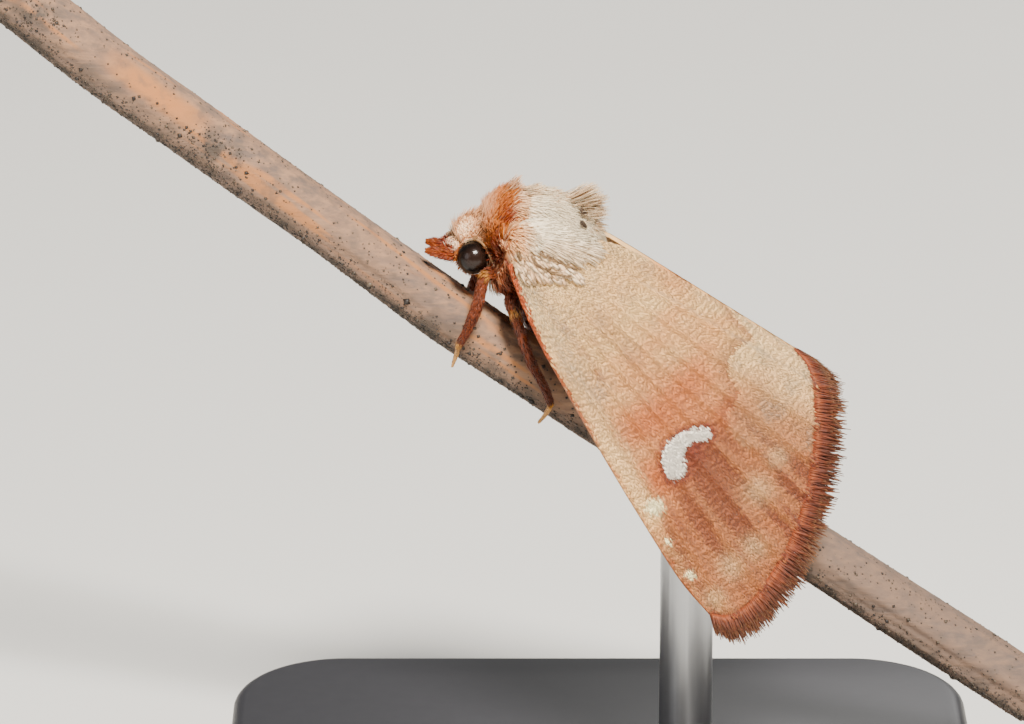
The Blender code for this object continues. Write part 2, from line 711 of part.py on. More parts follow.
def main():
    clear_scene()
    collection = new_collection("haemerosia_renalis")
    moth_frame = bpy.data.objects.new("moth_frame", None)
    moth_frame.empty_display_size = 2.0 * MM
    moth_frame.location = Vector((FRAME_X, 0.0, FRAME_Z)) * MM
    moth_frame.rotation_euler = (0.0, STEM_SLOPE, 0.0)
    collection.objects.link(moth_frame)

    on_stem = [make_head(), make_collar(), make_thorax(), make_abdomen(), make_stem()]
    for word, side in (("left", 1), ("right", -1)):
        on_stem.append(make_eye(f"eye_{word}", side))
        on_stem.append(make_palp(f"palp_{word}", side))
        on_stem.append(make_antenna(f"antenna_{word}", side))
        on_stem.append(make_tegula(f"tegula_{word}", side))
        on_stem.append(make_forewing(f"forewing_{word}", side))
        on_stem.append(make_hindwing(f"hindwing_{word}", side))
        for name, (root, points, radii) in LEGS.items():
            on_stem.append(make_leg(f"{name}_{word}", side, root, points, radii))
    for obj in on_stem:
        settle(obj, collection, moth_frame)
    for obj in (make_base(), make_rod()):
        settle(obj, collection, None)


main()
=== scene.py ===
import math

import bpy
import numpy as np
from mathutils import Matrix, Vector


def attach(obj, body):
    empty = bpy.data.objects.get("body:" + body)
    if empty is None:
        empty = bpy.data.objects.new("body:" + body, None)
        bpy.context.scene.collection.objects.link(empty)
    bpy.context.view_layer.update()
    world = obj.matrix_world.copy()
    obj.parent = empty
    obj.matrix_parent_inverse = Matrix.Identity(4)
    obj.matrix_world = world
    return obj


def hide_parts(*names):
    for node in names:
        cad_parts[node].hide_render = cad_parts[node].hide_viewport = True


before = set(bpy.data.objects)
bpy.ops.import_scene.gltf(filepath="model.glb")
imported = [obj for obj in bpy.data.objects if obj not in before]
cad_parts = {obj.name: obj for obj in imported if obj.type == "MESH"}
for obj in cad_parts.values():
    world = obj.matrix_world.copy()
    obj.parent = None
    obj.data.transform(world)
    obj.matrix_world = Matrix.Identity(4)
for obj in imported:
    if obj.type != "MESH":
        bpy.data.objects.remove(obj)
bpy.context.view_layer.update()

mm = 0.001
stemSlope = math.radians(36.9)
stemAnchor = Vector((-4.5, 0.0, 15.2))                  # the moth's origin over the middle of the base, in mm
mothTurn = Matrix.Translation(stemAnchor) @ Matrix.Rotation(stemSlope, 4, "Y")
mothPlace = Matrix.Scale(mm, 4) @ mothTurn
fromStand = mothPlace.inverted() @ Matrix.Scale(mm, 4)  # takes a shape on the base into the moth's frame
bothSides = (("left", 1), ("right", -1))
roundUnder = math.radians(50.0)                         # edges turned less than this are shaded smooth
far = 1e9


# Small helpers

def clearSelection():
    if bpy.context.object and bpy.context.object.mode != "OBJECT":
        bpy.ops.object.mode_set(mode="OBJECT")
    bpy.ops.object.select_all(action="DESELECT")


def makeActive(obj):
    clearSelection()
    obj.select_set(True)
    bpy.context.view_layer.objects.active = obj


def mendMesh(obj, doubles=0.0, holes=False):            # merges doubles, closes holes, turns faces outwards
    makeActive(obj)
    bpy.ops.object.mode_set(mode="EDIT")
    bpy.ops.mesh.select_all(action="SELECT")
    if doubles:
        bpy.ops.mesh.remove_doubles(threshold=doubles)
    if holes:
        bpy.ops.mesh.fill_holes(sides=0)
    bpy.ops.mesh.normals_make_consistent(inside=False)
    bpy.ops.object.mode_set(mode="OBJECT")


def addGrid(name, columns, rows):
    clearSelection()
    bpy.ops.mesh.primitive_grid_add(x_subdivisions=columns, y_subdivisions=rows, size=1.0)
    bpy.context.object.name = name
    return bpy.context.object


def readPoints(obj):
    flat = np.empty(len(obj.data.vertices) * 3, dtype=np.float32)
    obj.data.vertices.foreach_get("co", flat)
    return flat.reshape(-1, 3)


def writePoints(obj, points):
    obj.data.vertices.foreach_set("co", points.astype(np.float32).ravel())
    obj.data.update()


def applyModifiers(obj):
    makeActive(obj)
    for modifier in list(obj.modifiers):
        bpy.ops.object.modifier_apply(modifier=modifier.name)


def linear(hexColour):
    channels = [int(hexColour[i:i + 2], 16) / 255.0 for i in (1, 3, 5)]
    return (*[c / 12.92 if c <= 0.04045 else ((c + 0.055) / 1.055) ** 2.4 for c in channels], 1.0)


def addNode(tree, kind, values={}, links={}, **settings):
    node = tree.nodes.new("ShaderNode" + kind)
    for name, value in settings.items():
        setattr(node, name, value)
    for socket, value in values.items():
        node.inputs[socket].default_value = value
    for socket, source in links.items():                # a node stands for its first output
        tree.links.new(getattr(source, "outputs", [source])[0], node.inputs[socket])
    return node


def newMaterial(name, surface):                         # surface holds the shader's plain values
    material = bpy.data.materials.new(name)
    material.use_nodes = True
    shader = material.node_tree.nodes["Principled BSDF"]
    for socket, value in surface.items():
        shader.inputs[socket].default_value = value
    return material, material.node_tree, shader


def layered(tree, ground, *layers):                     # colours laid over the ground, each by its strength
    for strength, hexColour in layers:
        mix = addNode(tree, "Mix", {7: linear(hexColour)}, {0: strength}, data_type="RGBA")
        if isinstance(ground, str):
            mix.inputs[6].default_value = linear(ground)
        else:
            tree.links.new(ground, mix.inputs[6])
        ground = mix.outputs[2]
    return ground


def finish(obj, material, slot, *nodes):                # sets a piece in place and hides the parts that it stands for
    obj.data.transform(mothPlace)
    obj.data.materials.clear()
    obj.data.materials.append(material)
    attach(obj, "root")
    if nodes:
        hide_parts(*nodes)


def meshOf(name, points, faces):                        # one mesh of many equal pieces, with the faces of one
    count, each = points.shape[:2]
    triangles = (np.array(faces)[None] + (np.arange(count) * each)[:, None, None]).reshape(-1, 3)
    mesh = bpy.data.meshes.new(name)
    mesh.vertices.add(count * each)
    mesh.vertices.foreach_set("co", np.ascontiguousarray(points, dtype=np.float32).ravel())
    mesh.loops.add(len(triangles) * 3)
    mesh.loops.foreach_set("vertex_index", triangles.astype(np.int32).ravel())
    mesh.polygons.add(len(triangles))
    mesh.polygons.foreach_set("loop_start", np.arange(0, len(triangles) * 3, 3, dtype=np.int32))
    mesh.update(calc_edges=True)
    mesh.validate()
    obj = bpy.data.objects.new(name, mesh)
    bpy.context.scene.collection.objects.link(obj)
    return obj


def setAttribute(obj, name, values):                    # a value for each point, or for each piece of a coat
    layer = obj.data.attributes.new(name, "FLOAT", "POINT")
    each = len(obj.data.vertices) // len(values)
    layer.data.foreach_set("value", np.repeat(np.array(values, dtype=np.float32), each))


def setUv(obj, rootUv, patch, patchSize=0.003):         # each piece has a small patch of the map at its root
    uvOfPoint = (rootUv[:, None, :] + (patch * patchSize)[None]).reshape(-1, 2)
    layer = obj.data.uv_layers.new(name="OFBake")
    corner = np.empty(len(obj.data.loops), dtype=np.int32)
    obj.data.loops.foreach_get("vertex_index", corner)
    layer.data.foreach_set("uv", np.ascontiguousarray(uvOfPoint[corner], dtype=np.float32).ravel())


def unit(vectors):
    return vectors / np.maximum(np.linalg.norm(vectors, axis=-1, keepdims=True), 1e-9)


def smooth(values, low, high):
    s = np.clip((values - low) / (high - low), 0.0, 1.0)
    return s * s * (3.0 - 2.0 * s)


def fade(values, low, high):
    return 1.0 - smooth(values, low, high)


def blob(x, y, spot):                                   # 1 at the middle of the spot and soft all round it
    middleX, middleY, wide, tall = spot
    return np.exp(-(((x - middleX) / wide) ** 2 + ((y - middleY) / tall) ** 2))


def curveAt(points, t):                                 # a smooth curve through the points, t from 0 to 1
    points = np.array(points, dtype=float)
    last = len(points) - 1
    padded = np.vstack([2 * points[0] - points[1], points, 2 * points[-1] - points[-2]])
    place = np.clip(np.asarray(t, dtype=float), 0.0, 1.0) * last
    i = np.minimum(place.astype(int), last - 1)
    f = (place - i)[..., None]
    before, start, end, after = padded[i], padded[i + 1], padded[i + 2], padded[i + 3]
    return 0.5 * (2 * start + (end - before) * f + (2 * before - 5 * start + 4 * end - after) * f * f
                  + (3 * start - before - 3 * end + after) * f * f * f)


def distanceTo(points, curve, count=60):                # how far points are from a curve, and where on it
    line = curveAt(curve, np.linspace(0.0, 1.0, count))
    best = np.full(len(points), far)
    where = np.zeros(len(points))
    for i in range(count - 1):
        start, step = line[i], line[i + 1] - line[i]
        f = np.clip(((points - start) @ step) / max(step @ step, 1e-12), 0.0, 1.0)
        gap = np.linalg.norm(points - start - f[:, None] * step, axis=1)
        nearer = gap < best
        best[nearer] = gap[nearer]
        where[nearer] = (i + f[nearer]) / (count - 1)
    return best, where


def insideOf(points, outline):
    inside = np.zeros(len(points), dtype=bool)
    x, y = points[:, 0], points[:, 1]
    for (x1, y1), (x2, y2) in zip(outline, np.roll(outline, -1, axis=0)):
        crosses = (y1 > y) != (y2 > y)
        inside ^= crosses & (x < (x2 - x1) * (y - y1) / (y2 - y1 + 1e-12) + x1)
    return inside


def waves(points, scale, seed):                         # a soft patchiness from a few crossed waves, 0 to 1
    draw = np.random.default_rng(seed)
    total = np.zeros(len(points))
    for i in range(7):
        heading = draw.normal(size=points.shape[1])
        heading /= np.linalg.norm(heading)
        total += np.sin(points @ heading * scale * draw.uniform(0.6, 1.8) + draw.uniform(0.0, 6.28))
    return np.clip(0.5 + total / 7.0, 0.0, 1.0)


# Scales and hair: many small closed plates joined into one mesh

hairHeight = 0.16                    # of a hair scale's width
scaleOutline = np.array([(0.0, -0.20), (0.45, -0.50), (0.95, -0.30), (1.0, 0.24), (0.45, 0.50),
                         (0.0, 0.20)])


def scaleCoat(name, roots, along, normals, length, width, raised, thick, rootUv):
    # each scale is a shield with a raised middle, its root on the skin and its end lifted clear
    across = unit(np.cross(normals, along))
    flat = np.vstack([scaleOutline, (0.55, 0.0)])
    sides = len(scaleOutline)
    height = np.array([0.0] * sides + [1.0])
    x, y = flat[:, 0][None, :, None], flat[:, 1][None, :, None]
    lift = raised[:, None, None] * x + thick * height[None, :, None]
    points = (roots[:, None, :] + along[:, None, :] * x * length[:, None, None]
              + across[:, None, :] * y * width[:, None, None] + normals[:, None, :] * lift)
    top = [(sides, j, (j + 1) % sides) for j in range(sides)]
    under = [(0, j + 1, j) for j in range(1, sides - 1)]
    obj = meshOf(name, points, top + under)
    setUv(obj, rootUv, flat)
    return obj


def hairCoat(name, roots, along, normals, length, width, thick, angle, bend, rootUv, sections=4):
    # each hair scale is a three-sided strap that rises at its angle and bends back to the skin
    count = len(roots)
    across = unit(np.cross(normals, along))
    t = np.linspace(0.0, 1.0, sections)
    shape = np.interp(t, (0.0, 0.35, 0.8, 1.0), (0.55, 1.0, 0.85, 0.30))
    reach = t[None, :] * np.cos(angle)[:, None]
    rise = t[None, :] * np.sin(angle)[:, None] - bend[:, None] * t[None, :] ** 2
    middle = (roots[:, None, :] + along[:, None, :] * (reach * length[:, None])[..., None]
              + normals[:, None, :] * (rise * length[:, None])[..., None])
    ring = []
    for sideways, upwards in ((0.5, 0.0), (0.0, 1.0), (-0.5, 0.0)):
        ring.append(middle + across[:, None, :] * (sideways * width[:, None] * shape[None, :])[..., None]
                    + normals[:, None, :] * (upwards * thick * width[:, None] * shape[None, :])[..., None])
    points = np.stack(ring, axis=2).reshape(count, sections * 3, 3)
    faces = []
    for i in range(sections - 1):
        for j in range(3):
            a, b = i * 3 + j, i * 3 + (j + 1) % 3
            faces += [(a, b, b + 3), (a, b + 3, a + 3)]
    end = (sections - 1) * 3
    faces += [(2, 1, 0), (end, end + 1, end + 2)]
    obj = meshOf(name, points, faces)
    setUv(obj, rootUv, np.stack([np.repeat(t, 3), np.tile((-0.5, 0.0, 0.5), sections)], axis=1))
    setAttribute(obj, "reach", np.tile(np.repeat(t, 3), count))
    return obj


# The roof that the folded wings make

roof = {"out": 0.08, "up": 3.98, "rise": math.tan(math.radians(3.8)), "ridge": 13.0, "front": 68.0,
        "rear": 58.0, "turn": 2.3}


def roofSlope(back, down):
    full = roof["front"] + (roof["rear"] - roof["front"]) * smooth(back, 1.0, 4.0)
    turned = np.sin(0.5 * np.pi * np.clip(down / roof["turn"], 0.0, 1.0))
    return np.radians(roof["ridge"] + (full - roof["ridge"]) * turned)


def roofPoint(side, back, down, lift):
    steps = 24
    out = np.full(np.shape(down), roof["out"])
    up = roof["up"] + roof["rise"] * back
    for i in range(steps):
        slope = roofSlope(back, (i + 0.5) * down / steps)
        out = out + np.cos(slope) * down / steps
        up = up - np.sin(slope) * down / steps
    slope = roofSlope(back, down)
    out = out + lift * np.sin(slope)
    up = up + lift * np.cos(slope)
    return np.stack([back + 0.0 * down, -side * out, up], axis=-1)


def roofNormal(side, back, down):
    slope = roofSlope(back, down)
    return unit(np.stack([-roof["rise"] + 0.0 * down, -side * np.sin(slope), np.cos(slope)], axis=-1))


def roofPlace(points):                                  # how far down the roof places lie, and how high
    bestGap = np.full(len(points), far)
    down = np.zeros(len(points))
    lift = np.zeros(len(points))
    for step in np.linspace(0.0, 4.2, 43):
        here = roofPoint(1, points[:, 0], np.full(len(points), step), 0.0)
        offset = np.stack([np.abs(points[:, 1]) + here[:, 1], points[:, 2] - here[:, 2]], axis=1)
        gap = np.linalg.norm(offset, axis=1)
        slope = roofSlope(points[:, 0], step)
        height = offset[:, 0] * np.sin(slope) + offset[:, 1] * np.cos(slope)
        nearer = gap < bestGap
        bestGap[nearer], down[nearer], lift[nearer] = gap[nearer], step, height[nearer]
    return down, lift


def wingPlan(wing, u, v):                               # the flat wing between its four sides
    costa, inner = wing["costa"], wing["inner"]
    u1, v1 = u[..., None], v[..., None]
    along = curveAt(costa, v) * (1 - u1) + curveAt(inner, v) * u1
    across = curveAt([costa[0], inner[0]], u) * (1 - v1) + curveAt(wing["termen"], u) * v1
    corners = (np.array(costa[0]) * (1 - u1) * (1 - v1) + np.array(inner[0]) * u1 * (1 - v1)
               + np.array(costa[-1]) * (1 - u1) * v1 + np.array(inner[-1]) * u1 * v1)
    return along + across - corners


# Forewings

forewing = {
    "costa": [(0.80, 2.40), (2.05, 3.36), (3.40, 4.28), (5.27, 5.34), (7.08, 6.30), (8.82, 7.16),
              (10.02, 7.56)],
    "termen": [(10.02, 7.56), (10.42, 7.34), (10.72, 6.75), (10.82, 5.90), (10.80, 4.90), (10.60, 3.76),
               (10.12, 2.44), (9.50, 1.26), (8.90, 0.30), (8.45, 0.02)],
    "inner": [(0.92, 1.86), (1.50, 1.20), (2.40, 0.48), (3.60, 0.08), (6.00, 0.02), (8.45, 0.02)],
    "fringeTips": [(10.38, 7.94), (11.04, 7.80), (11.46, 7.10), (11.70, 6.04), (11.68, 4.92), (11.42, 3.50),
                   (10.98, 2.14), (10.38, 0.88), (9.68, 0.06), (9.00, -0.18)],
    "fan": (-2.3, 1.13),             # where the lines of scales would meet, ahead of the root
    "veins": (0.10, 0.22, 0.33, 0.43, 0.53, 0.63, 0.74, 0.87),
    "veinHeight": 0.030,
    "thickness": 0.10, "lift": -0.03, "topLift": -0.02, "underLift": -0.12,
    "rowGap": 0.053, "scaleGap": 0.037, "scaleLength": 0.165, "scaleWidth": 0.056,
    "underGap": 0.14,
    "pieces": {"front": (0.0, 6.6), "rear": (6.6, 20.0)},    # from where to where back along the wing
    "whole": (0.0, 20.0), "grid": 72, "ridge": 0.0018,
    "fringeRows": 7, "fringeGap": 0.034, "fringeWidth": 0.062,
}

# The wing's markings: soft shapes on the roof, each from a few places back along it and down it
wingMarks = {
    "kidney": [(7.30, 3.52), (7.06, 3.72), (6.88, 4.00), (6.86, 4.32), (6.96, 4.56), (7.10, 4.74)],
    "paleEdge": [(6.30, 0.02), (6.50, 0.25), (7.16, 0.60), (6.87, 1.07), (6.85, 1.55), (7.06, 1.90),
                 (7.48, 2.11), (7.50, 2.66), (7.68, 3.03), (8.20, 3.30), (8.85, 3.12), (9.50, 2.75),
                 (9.95, 2.50)],
    "costalSpots": [(7.17, 5.86, 0.26), (7.96, 6.46, 0.11), (8.90, 6.92, 0.15)],
    "outerSpots": [(9.22, 3.03, 0.30), (9.26, 4.03, 0.40), (9.91, 5.37, 0.32), (9.67, 6.15, 0.34),
                   (9.72, 7.05, 0.26)],
    "greyStreak": [(1.39, 2.54), (2.49, 3.14), (3.57, 3.77), (4.40, 4.13)],
    # the fold: a crease near the wing's base, along which a dark line is painted as its shade
    "fold": [(1.10, 2.05), (2.10, 2.70), (3.10, 3.15), (4.30, 3.72)],
    "darkStreak": [(7.38, 4.17), (8.18, 4.31), (9.15, 4.50)],
    "behindKidney": (7.55, 4.20, 0.60, 0.65), "darkRoot": (1.05, 2.20, 0.28, 0.26),
}
wingColours = {                      # laid over the ground colour in this order
    "flush": "#E29250", "rufous": "#BE622A", "deep": "#74280A", "pink": "#9E5C2E", "streak": "#78381A",
    "pale": "#F4CA8C", "grey": "#8C8070", "spot": "#FFECB0", "kidney": "#FCF1E0", "costa": "#A04210",
    "margin": "#742C08",
}


def wingOutline(wing):
    t = np.linspace(0.0, 1.0, 80)
    return np.vstack([curveAt(wing["costa"], t), curveAt(wing["termen"], t), curveAt(wing["inner"], t)[::-1]])


def wingMasks(points, draw=None):    # strength of each marking at places on the roof
    jitter = draw.normal(0.0, 0.035, points.shape) if draw is not None else 0.0
    p = points + jitter
    back, down = p[:, 0], p[:, 1]
    patchy = waves(p, 2.6, 4)
    fine = waves(p, 9.0, 8)
    fan = forewing["fan"]
    ray = np.arctan2(down - fan[1], back - fan[0])
    rays = waves(np.stack([ray * 62.0, back * 0.7], axis=1), 1.0, 9)
    thinRays = waves(np.stack([ray * 150.0, back * 1.1], axis=1), 1.0, 16)
    costaGap, alongCosta = distanceTo(p, forewing["costa"])
    edgeGap = distanceTo(p, forewing["termen"])[0]
    kidneyGap, alongKidney = distanceTo(p, wingMarks["kidney"])
    outOfKidney = kidneyGap - (0.15 + 0.12 * smooth(alongKidney, 0.30, 0.70))
    streakGap, foldGap, greyGap = (distanceTo(p, wingMarks[line])[0]
                                   for line in ("darkStreak", "fold", "greyStreak"))
    paleGap = distanceTo(p, wingMarks["paleEdge"], 120)[0]
    paleShape = np.vstack([curveAt(wingMarks["paleEdge"], np.linspace(0.0, 1.0, 90)), (9.60, 1.70),
                           (9.10, 0.90), (8.60, -0.10)])
    inPale = np.where(insideOf(p, paleShape), paleGap, -paleGap)
    root = fade(back, 1.6, 4.2)
    masks = {}

    masks["flush"] = 0.80 * smooth(back, 1.2, 4.8) * (0.12 + 0.66 * patchy + 0.22 * fine)
    middle = smooth(back + 0.20 * down, 4.3, 6.8) * smooth(down, 0.8, 3.0)
    masks["rufous"] = np.clip(middle * (0.66 + 0.34 * patchy), 0.0, 1.0) * smooth(costaGap, 0.15, 0.8)
    besidePale = fade(-inPale, 0.0, 0.50) * (inPale < 0.0) * (back < 8.3) * (down < 3.6)
    masks["deep"] = np.clip(0.85 * fade(outOfKidney, 0.04, 0.26)
                            + 0.95 * blob(back, down, wingMarks["behindKidney"])
                            + 0.50 * besidePale + 0.30 * fade(streakGap, 0.05, 0.35), 0.0, 1.0)
    masks["pink"] = smooth(back, 7.2, 8.2) * smooth(down, 0.9, 2.2) * (0.65 + 0.30 * fine)

    betweenVeins = smooth(back, 7.2, 7.8) * smooth(down, 1.8, 2.8) * fade(down, 5.2, 6.4)
    masks["streak"] = np.max([
        0.75 * smooth(rays, 0.50, 0.72) * smooth(back, 6.0, 8.4) * (1.0 - 0.6 * (inPale > 0.0)),
        0.85 * smooth(thinRays, 0.60, 0.74) * betweenVeins,
        # painted shade: a dark line along the fold stands for the shade in the crease
        0.60 * fade(foldGap, 0.02, 0.12) * (0.4 + 0.6 * fine),
        0.30 * smooth(rays, 0.56, 0.76) * fade(back, 4.5, 7.0) * (0.4 + 0.6 * smooth(down, 1.2, 2.4)),
    ], axis=0)

    edgePatch = smooth(inPale, -0.03, 0.09) * (0.92 - 0.80 * smooth(down, 0.5, 2.3))
    insideCosta = fade(np.abs(costaGap - 0.34), 0.10, 0.34) * smooth(back, 1.4, 2.6)
    masks["pale"] = np.max([
        edgePatch * (0.74 + 0.26 * fine),
        *[0.36 * blob(back, down, (x, y, size, size)) for x, y, size in wingMarks["outerSpots"]],
        0.38 * insideCosta * fade(back, 6.6, 7.2),
        0.35 * root * (0.6 + 0.4 * patchy),
    ], axis=0)

    blotch = smooth(waves(p, 5.0, 14), 0.62, 0.80)
    dusting = 0.55 * fade(greyGap, 0.1, 0.40) + 0.12 * root + 0.06 * fade(back, 3.0, 6.5)
    dusting = dusting + 0.7 * blob(back, down, wingMarks["darkRoot"])
    dusting = dusting + 0.55 * blotch * smooth(inPale, 0.0, 0.25) + 0.30 * blotch * fade(back, 4.5, 6.5)
    if draw is None:
        masks["grey"] = np.clip(dusting, 0.0, 1.0) * 0.5
    else:
        masks["grey"] = np.clip(dusting * draw.uniform(0.3, 1.3, len(p)), 0.0, 1.0) * 0.6

    masks["spot"] = np.max([fade(np.hypot(back - x, (down - y) * 1.15), size * 0.6, size * 1.25)
                            for x, y, size in wingMarks["costalSpots"]], axis=0)
    masks["kidney"] = fade(outOfKidney, -0.05, 0.03)
    costaWidth = 0.045 + 0.10 * fade(alongCosta, 0.0, 0.45)
    atCosta = fade(costaGap, costaWidth * 0.6, costaWidth * 1.2)
    masks["costa"] = atCosta * (1.0 - 0.55 * smooth(alongCosta, 0.25, 0.6)) * (1.0 - masks["spot"])
    masks["margin"] = np.clip(fade(np.abs(edgeGap - 0.08), 0.03, 0.09) * 0.95
                              + fade(edgeGap, 0.05, 0.5) * 0.12, 0.0, 1.0)
    return masks


def wingMaterial():
    # Wing scales: thin dry plates of chitin with ribs too fine to see, so the sheen is soft and silky
    material, tree, shader = newMaterial("forewing scales, powdery", {
        "Roughness": 0.52, "IOR": 1.45, "Sheen Weight": 0.04, "Sheen Roughness": 0.4})
    place = addNode(tree, "TexCoord").outputs["Object"]
    cloud = addNode(tree, "TexNoise", {"Scale": 900.0, "Detail": 4.0}, {"Vector": place})
    marks = {mark: addNode(tree, "Attribute", attribute_name=mark).outputs["Fac"]
             for mark in (*wingColours, "shade")}
    colour = layered(tree, "#F6CE8C", (cloud, "#ECB86E"),
                     *[(marks[mark], hexColour) for mark, hexColour in wingColours.items()])
    grain = addNode(tree, "MapRange", {"To Min": 0.89, "To Max": 1.08}, {"Value": marks["shade"]})
    toned = addNode(tree, "HueSaturation", {}, {"Color": colour, "Value": grain})
    tree.links.new(toned.outputs[0], shader.inputs["Base Color"])
    return material


def wingHeight(wing, back, down):    # low swellings over the veins
    fan = np.array(wing["fan"])
    heading = np.arctan2(down - fan[1], back - fan[0])
    low = np.arctan2(wing["inner"][-1][1] - fan[1], wing["inner"][-1][0] - fan[0])
    high = np.arctan2(wing["costa"][2][1] - fan[1], wing["costa"][2][0] - fan[0])
    across = 1.0 - (heading - low) / (high - low)
    height = np.zeros(np.shape(across))
    for vein in wing["veins"]:
        height += np.exp(-((across - vein) / 0.016) ** 2)
    return wing["veinHeight"] * height * smooth(back, 2.5, 5.0)


def makeMembrane(name, side, wing):
    obj = addGrid(name, wing["grid"], wing["grid"])
    flat = readPoints(obj) + 0.5
    place = wingPlan(wing, flat[:, 0].astype(float), flat[:, 1].astype(float))
    back, down = place[:, 0], place[:, 1]
    writePoints(obj, roofPoint(side, back, down, wing["lift"] + wingHeight(wing, back, down)))
    makeActive(obj)
    bpy.ops.object.mode_set(mode="EDIT")
    bpy.ops.mesh.select_all(action="SELECT")
    if side > 0:
        bpy.ops.mesh.flip_normals()
    bpy.ops.object.mode_set(mode="OBJECT")
    for mark, values in wingMasks(place).items():
        setAttribute(obj, mark, values)
    setAttribute(obj, "shade", [0.45])
    wall = obj.modifiers.new("wall", "SOLIDIFY")
    wall.thickness = wing["thickness"]
    wall.offset = -1.0
    applyModifiers(obj)
    bpy.ops.object.shade_smooth_by_angle(angle=roundUnder)
    return obj


def hexGrid(outline, rowGap, gap, draw):
    low, high = outline.min(axis=0), outline.max(axis=0)
    rows = np.arange(low[0], high[0], rowGap)
    columns = np.arange(low[1], high[1], gap)
    back, down = np.meshgrid(rows, columns, indexing="ij")
    down = down + 0.5 * gap * (np.arange(len(rows)) % 2)[:, None]
    points = np.stack([back.ravel(), down.ravel()], axis=1)
    points += draw.uniform(-0.28, 0.28, points.shape) * (rowGap, gap)
    return points[insideOf(points, outline)]


def surfaceFrame(side, points, heading, lift):          # places, directions along and normals on the roof
    step = 0.01
    here = roofPoint(side, points[:, 0], points[:, 1], lift)
    near = points + heading * step
    ahead = roofPoint(side, near[:, 0], near[:, 1], lift)
    return here, unit(ahead - here), roofNormal(side, points[:, 0], points[:, 1])


def roofUv(points):                                     # the roof laid out flat
    return points / 13.0 + 0.03


def makeWingScales(name, side, draw, span, under=False):
    wing = forewing
    outline, fan = wingOutline(wing), np.array(wing["fan"])
    rowGap = wing["underGap"] if under else wing["rowGap"]
    gap = rowGap * wing["scaleGap"] / wing["rowGap"]
    grow = gap / wing["scaleGap"]
    points = hexGrid(outline, rowGap, gap, draw)
    points = points[(points[:, 0] > span[0]) & (points[:, 0] <= span[1])]
    heading = unit(points - fan)
    costaGap, alongCosta = distanceTo(points, wing["costa"])
    edgeGap = distanceTo(points, wing["termen"])[0]
    turn = draw.normal(0.0, 0.06, len(points))
    heading = np.stack([heading[:, 0] * np.cos(turn) - heading[:, 1] * np.sin(turn),
                        heading[:, 0] * np.sin(turn) + heading[:, 1] * np.cos(turn)], axis=1)
    tangent = unit(curveAt(wing["costa"], np.minimum(alongCosta + 0.02, 1.0))
                   - curveAt(wing["costa"], np.maximum(alongCosta - 0.02, 0.0)))
    follow = fade(costaGap, 0.08, 0.40)[:, None]        # along the front edge the scales follow it
    heading = unit(heading * (1.0 - follow) + tangent * follow)
    tip = points + heading * wing["scaleLength"] * grow * 1.1
    clear = (insideOf(tip, outline) | (edgeGap < costaGap)) & ((not under) | (costaGap > 0.12))
    points, heading = points[clear], heading[clear]
    count = len(points)
    lift = wing["underLift"] if under else wing["topLift"] + wingHeight(wing, points[:, 0], points[:, 1])
    here, along, normal = surfaceFrame(side, points, heading, lift)
    masks = wingMasks(points, draw)
    length = wing["scaleLength"] * grow * draw.uniform(0.85, 1.15, count)
    width = wing["scaleWidth"] * grow * draw.uniform(0.85, 1.15, count)
    x, y = (points - fan).T
    ripple = waves(np.stack([np.hypot(x, y) * 36.0, np.arctan2(y, x) * 110.0], axis=1), 1.0, 15)
    raised = (0.003 * draw.uniform(0.4, 1.7, count) + 0.003 * smooth(ripple, 0.35, 0.75)
              + 0.018 * masks["kidney"])
    obj = scaleCoat(name, here, along, -normal if under else normal, length, width, raised, wing["ridge"],
                    roofUv(points))
    for mark, values in masks.items():
        setAttribute(obj, mark, values * (0.45 if under and mark != "margin" else 1.0))
    setAttribute(obj, "shade", 0.35 * draw.uniform(0.0, 1.0, count) + 0.65 * ripple)
    return obj


def makeFringe(name, side, draw):
    rows, edge = forewing["fringeRows"], forewing["termen"]
    span = np.linalg.norm(np.diff(curveAt(edge, np.linspace(0, 1, 200)), axis=0), axis=1).sum()
    count = int(span / forewing["fringeGap"])
    places, tips, lifts = [], [], []
    for row in range(rows):
        t = (np.arange(count) + draw.uniform(0.0, 1.0, count)) / count
        root = curveAt(edge, t)
        tip = curveAt(forewing["fringeTips"], np.clip(t + draw.normal(0.0, 0.006, count), 0.0, 1.0))
        notch = 0.5 + 0.5 * np.cos(2.0 * np.pi * 17.0 * t + 2.0 * np.sin(9.0 * t))
        reach = (0.55 + 0.45 * row / (rows - 1)) * (1.0 - 0.10 * notch) * draw.uniform(0.84, 1.06, count)
        places.append(root - unit(tip - root) * (0.06 + 0.02 * row))
        tips.append(root + (tip - root) * reach[:, None])
        lifts.append(np.full(count, -0.01 - 0.13 * row / rows))
    points = np.vstack(places)
    reached = np.vstack(tips) - points
    here, along, normal = surfaceFrame(side, points, unit(reached), np.concatenate(lifts))
    total, down = len(points), points[:, 1]
    widths = forewing["fringeWidth"] * draw.uniform(0.6, 1.1, total)
    obj = hairCoat(name, here, along, normal, np.linalg.norm(reached, axis=1), widths, hairHeight,
                   draw.normal(0.01, 0.04, total), draw.normal(0.0, 0.03, total), roofUv(points))
    middle = np.maximum(np.exp(-(((down - 2.9) / 1.7) ** 2)), 0.95 * smooth(down, 3.8, 5.8))
    setAttribute(obj, "dark", np.clip(middle * draw.uniform(0.2, 1.1, total), 0.0, 1.0))
    setAttribute(obj, "shade", draw.uniform(0.0, 1.0, total))
    setAttribute(obj, "low", 0.4 * smooth(down, 4.8, 6.6))
    return obj


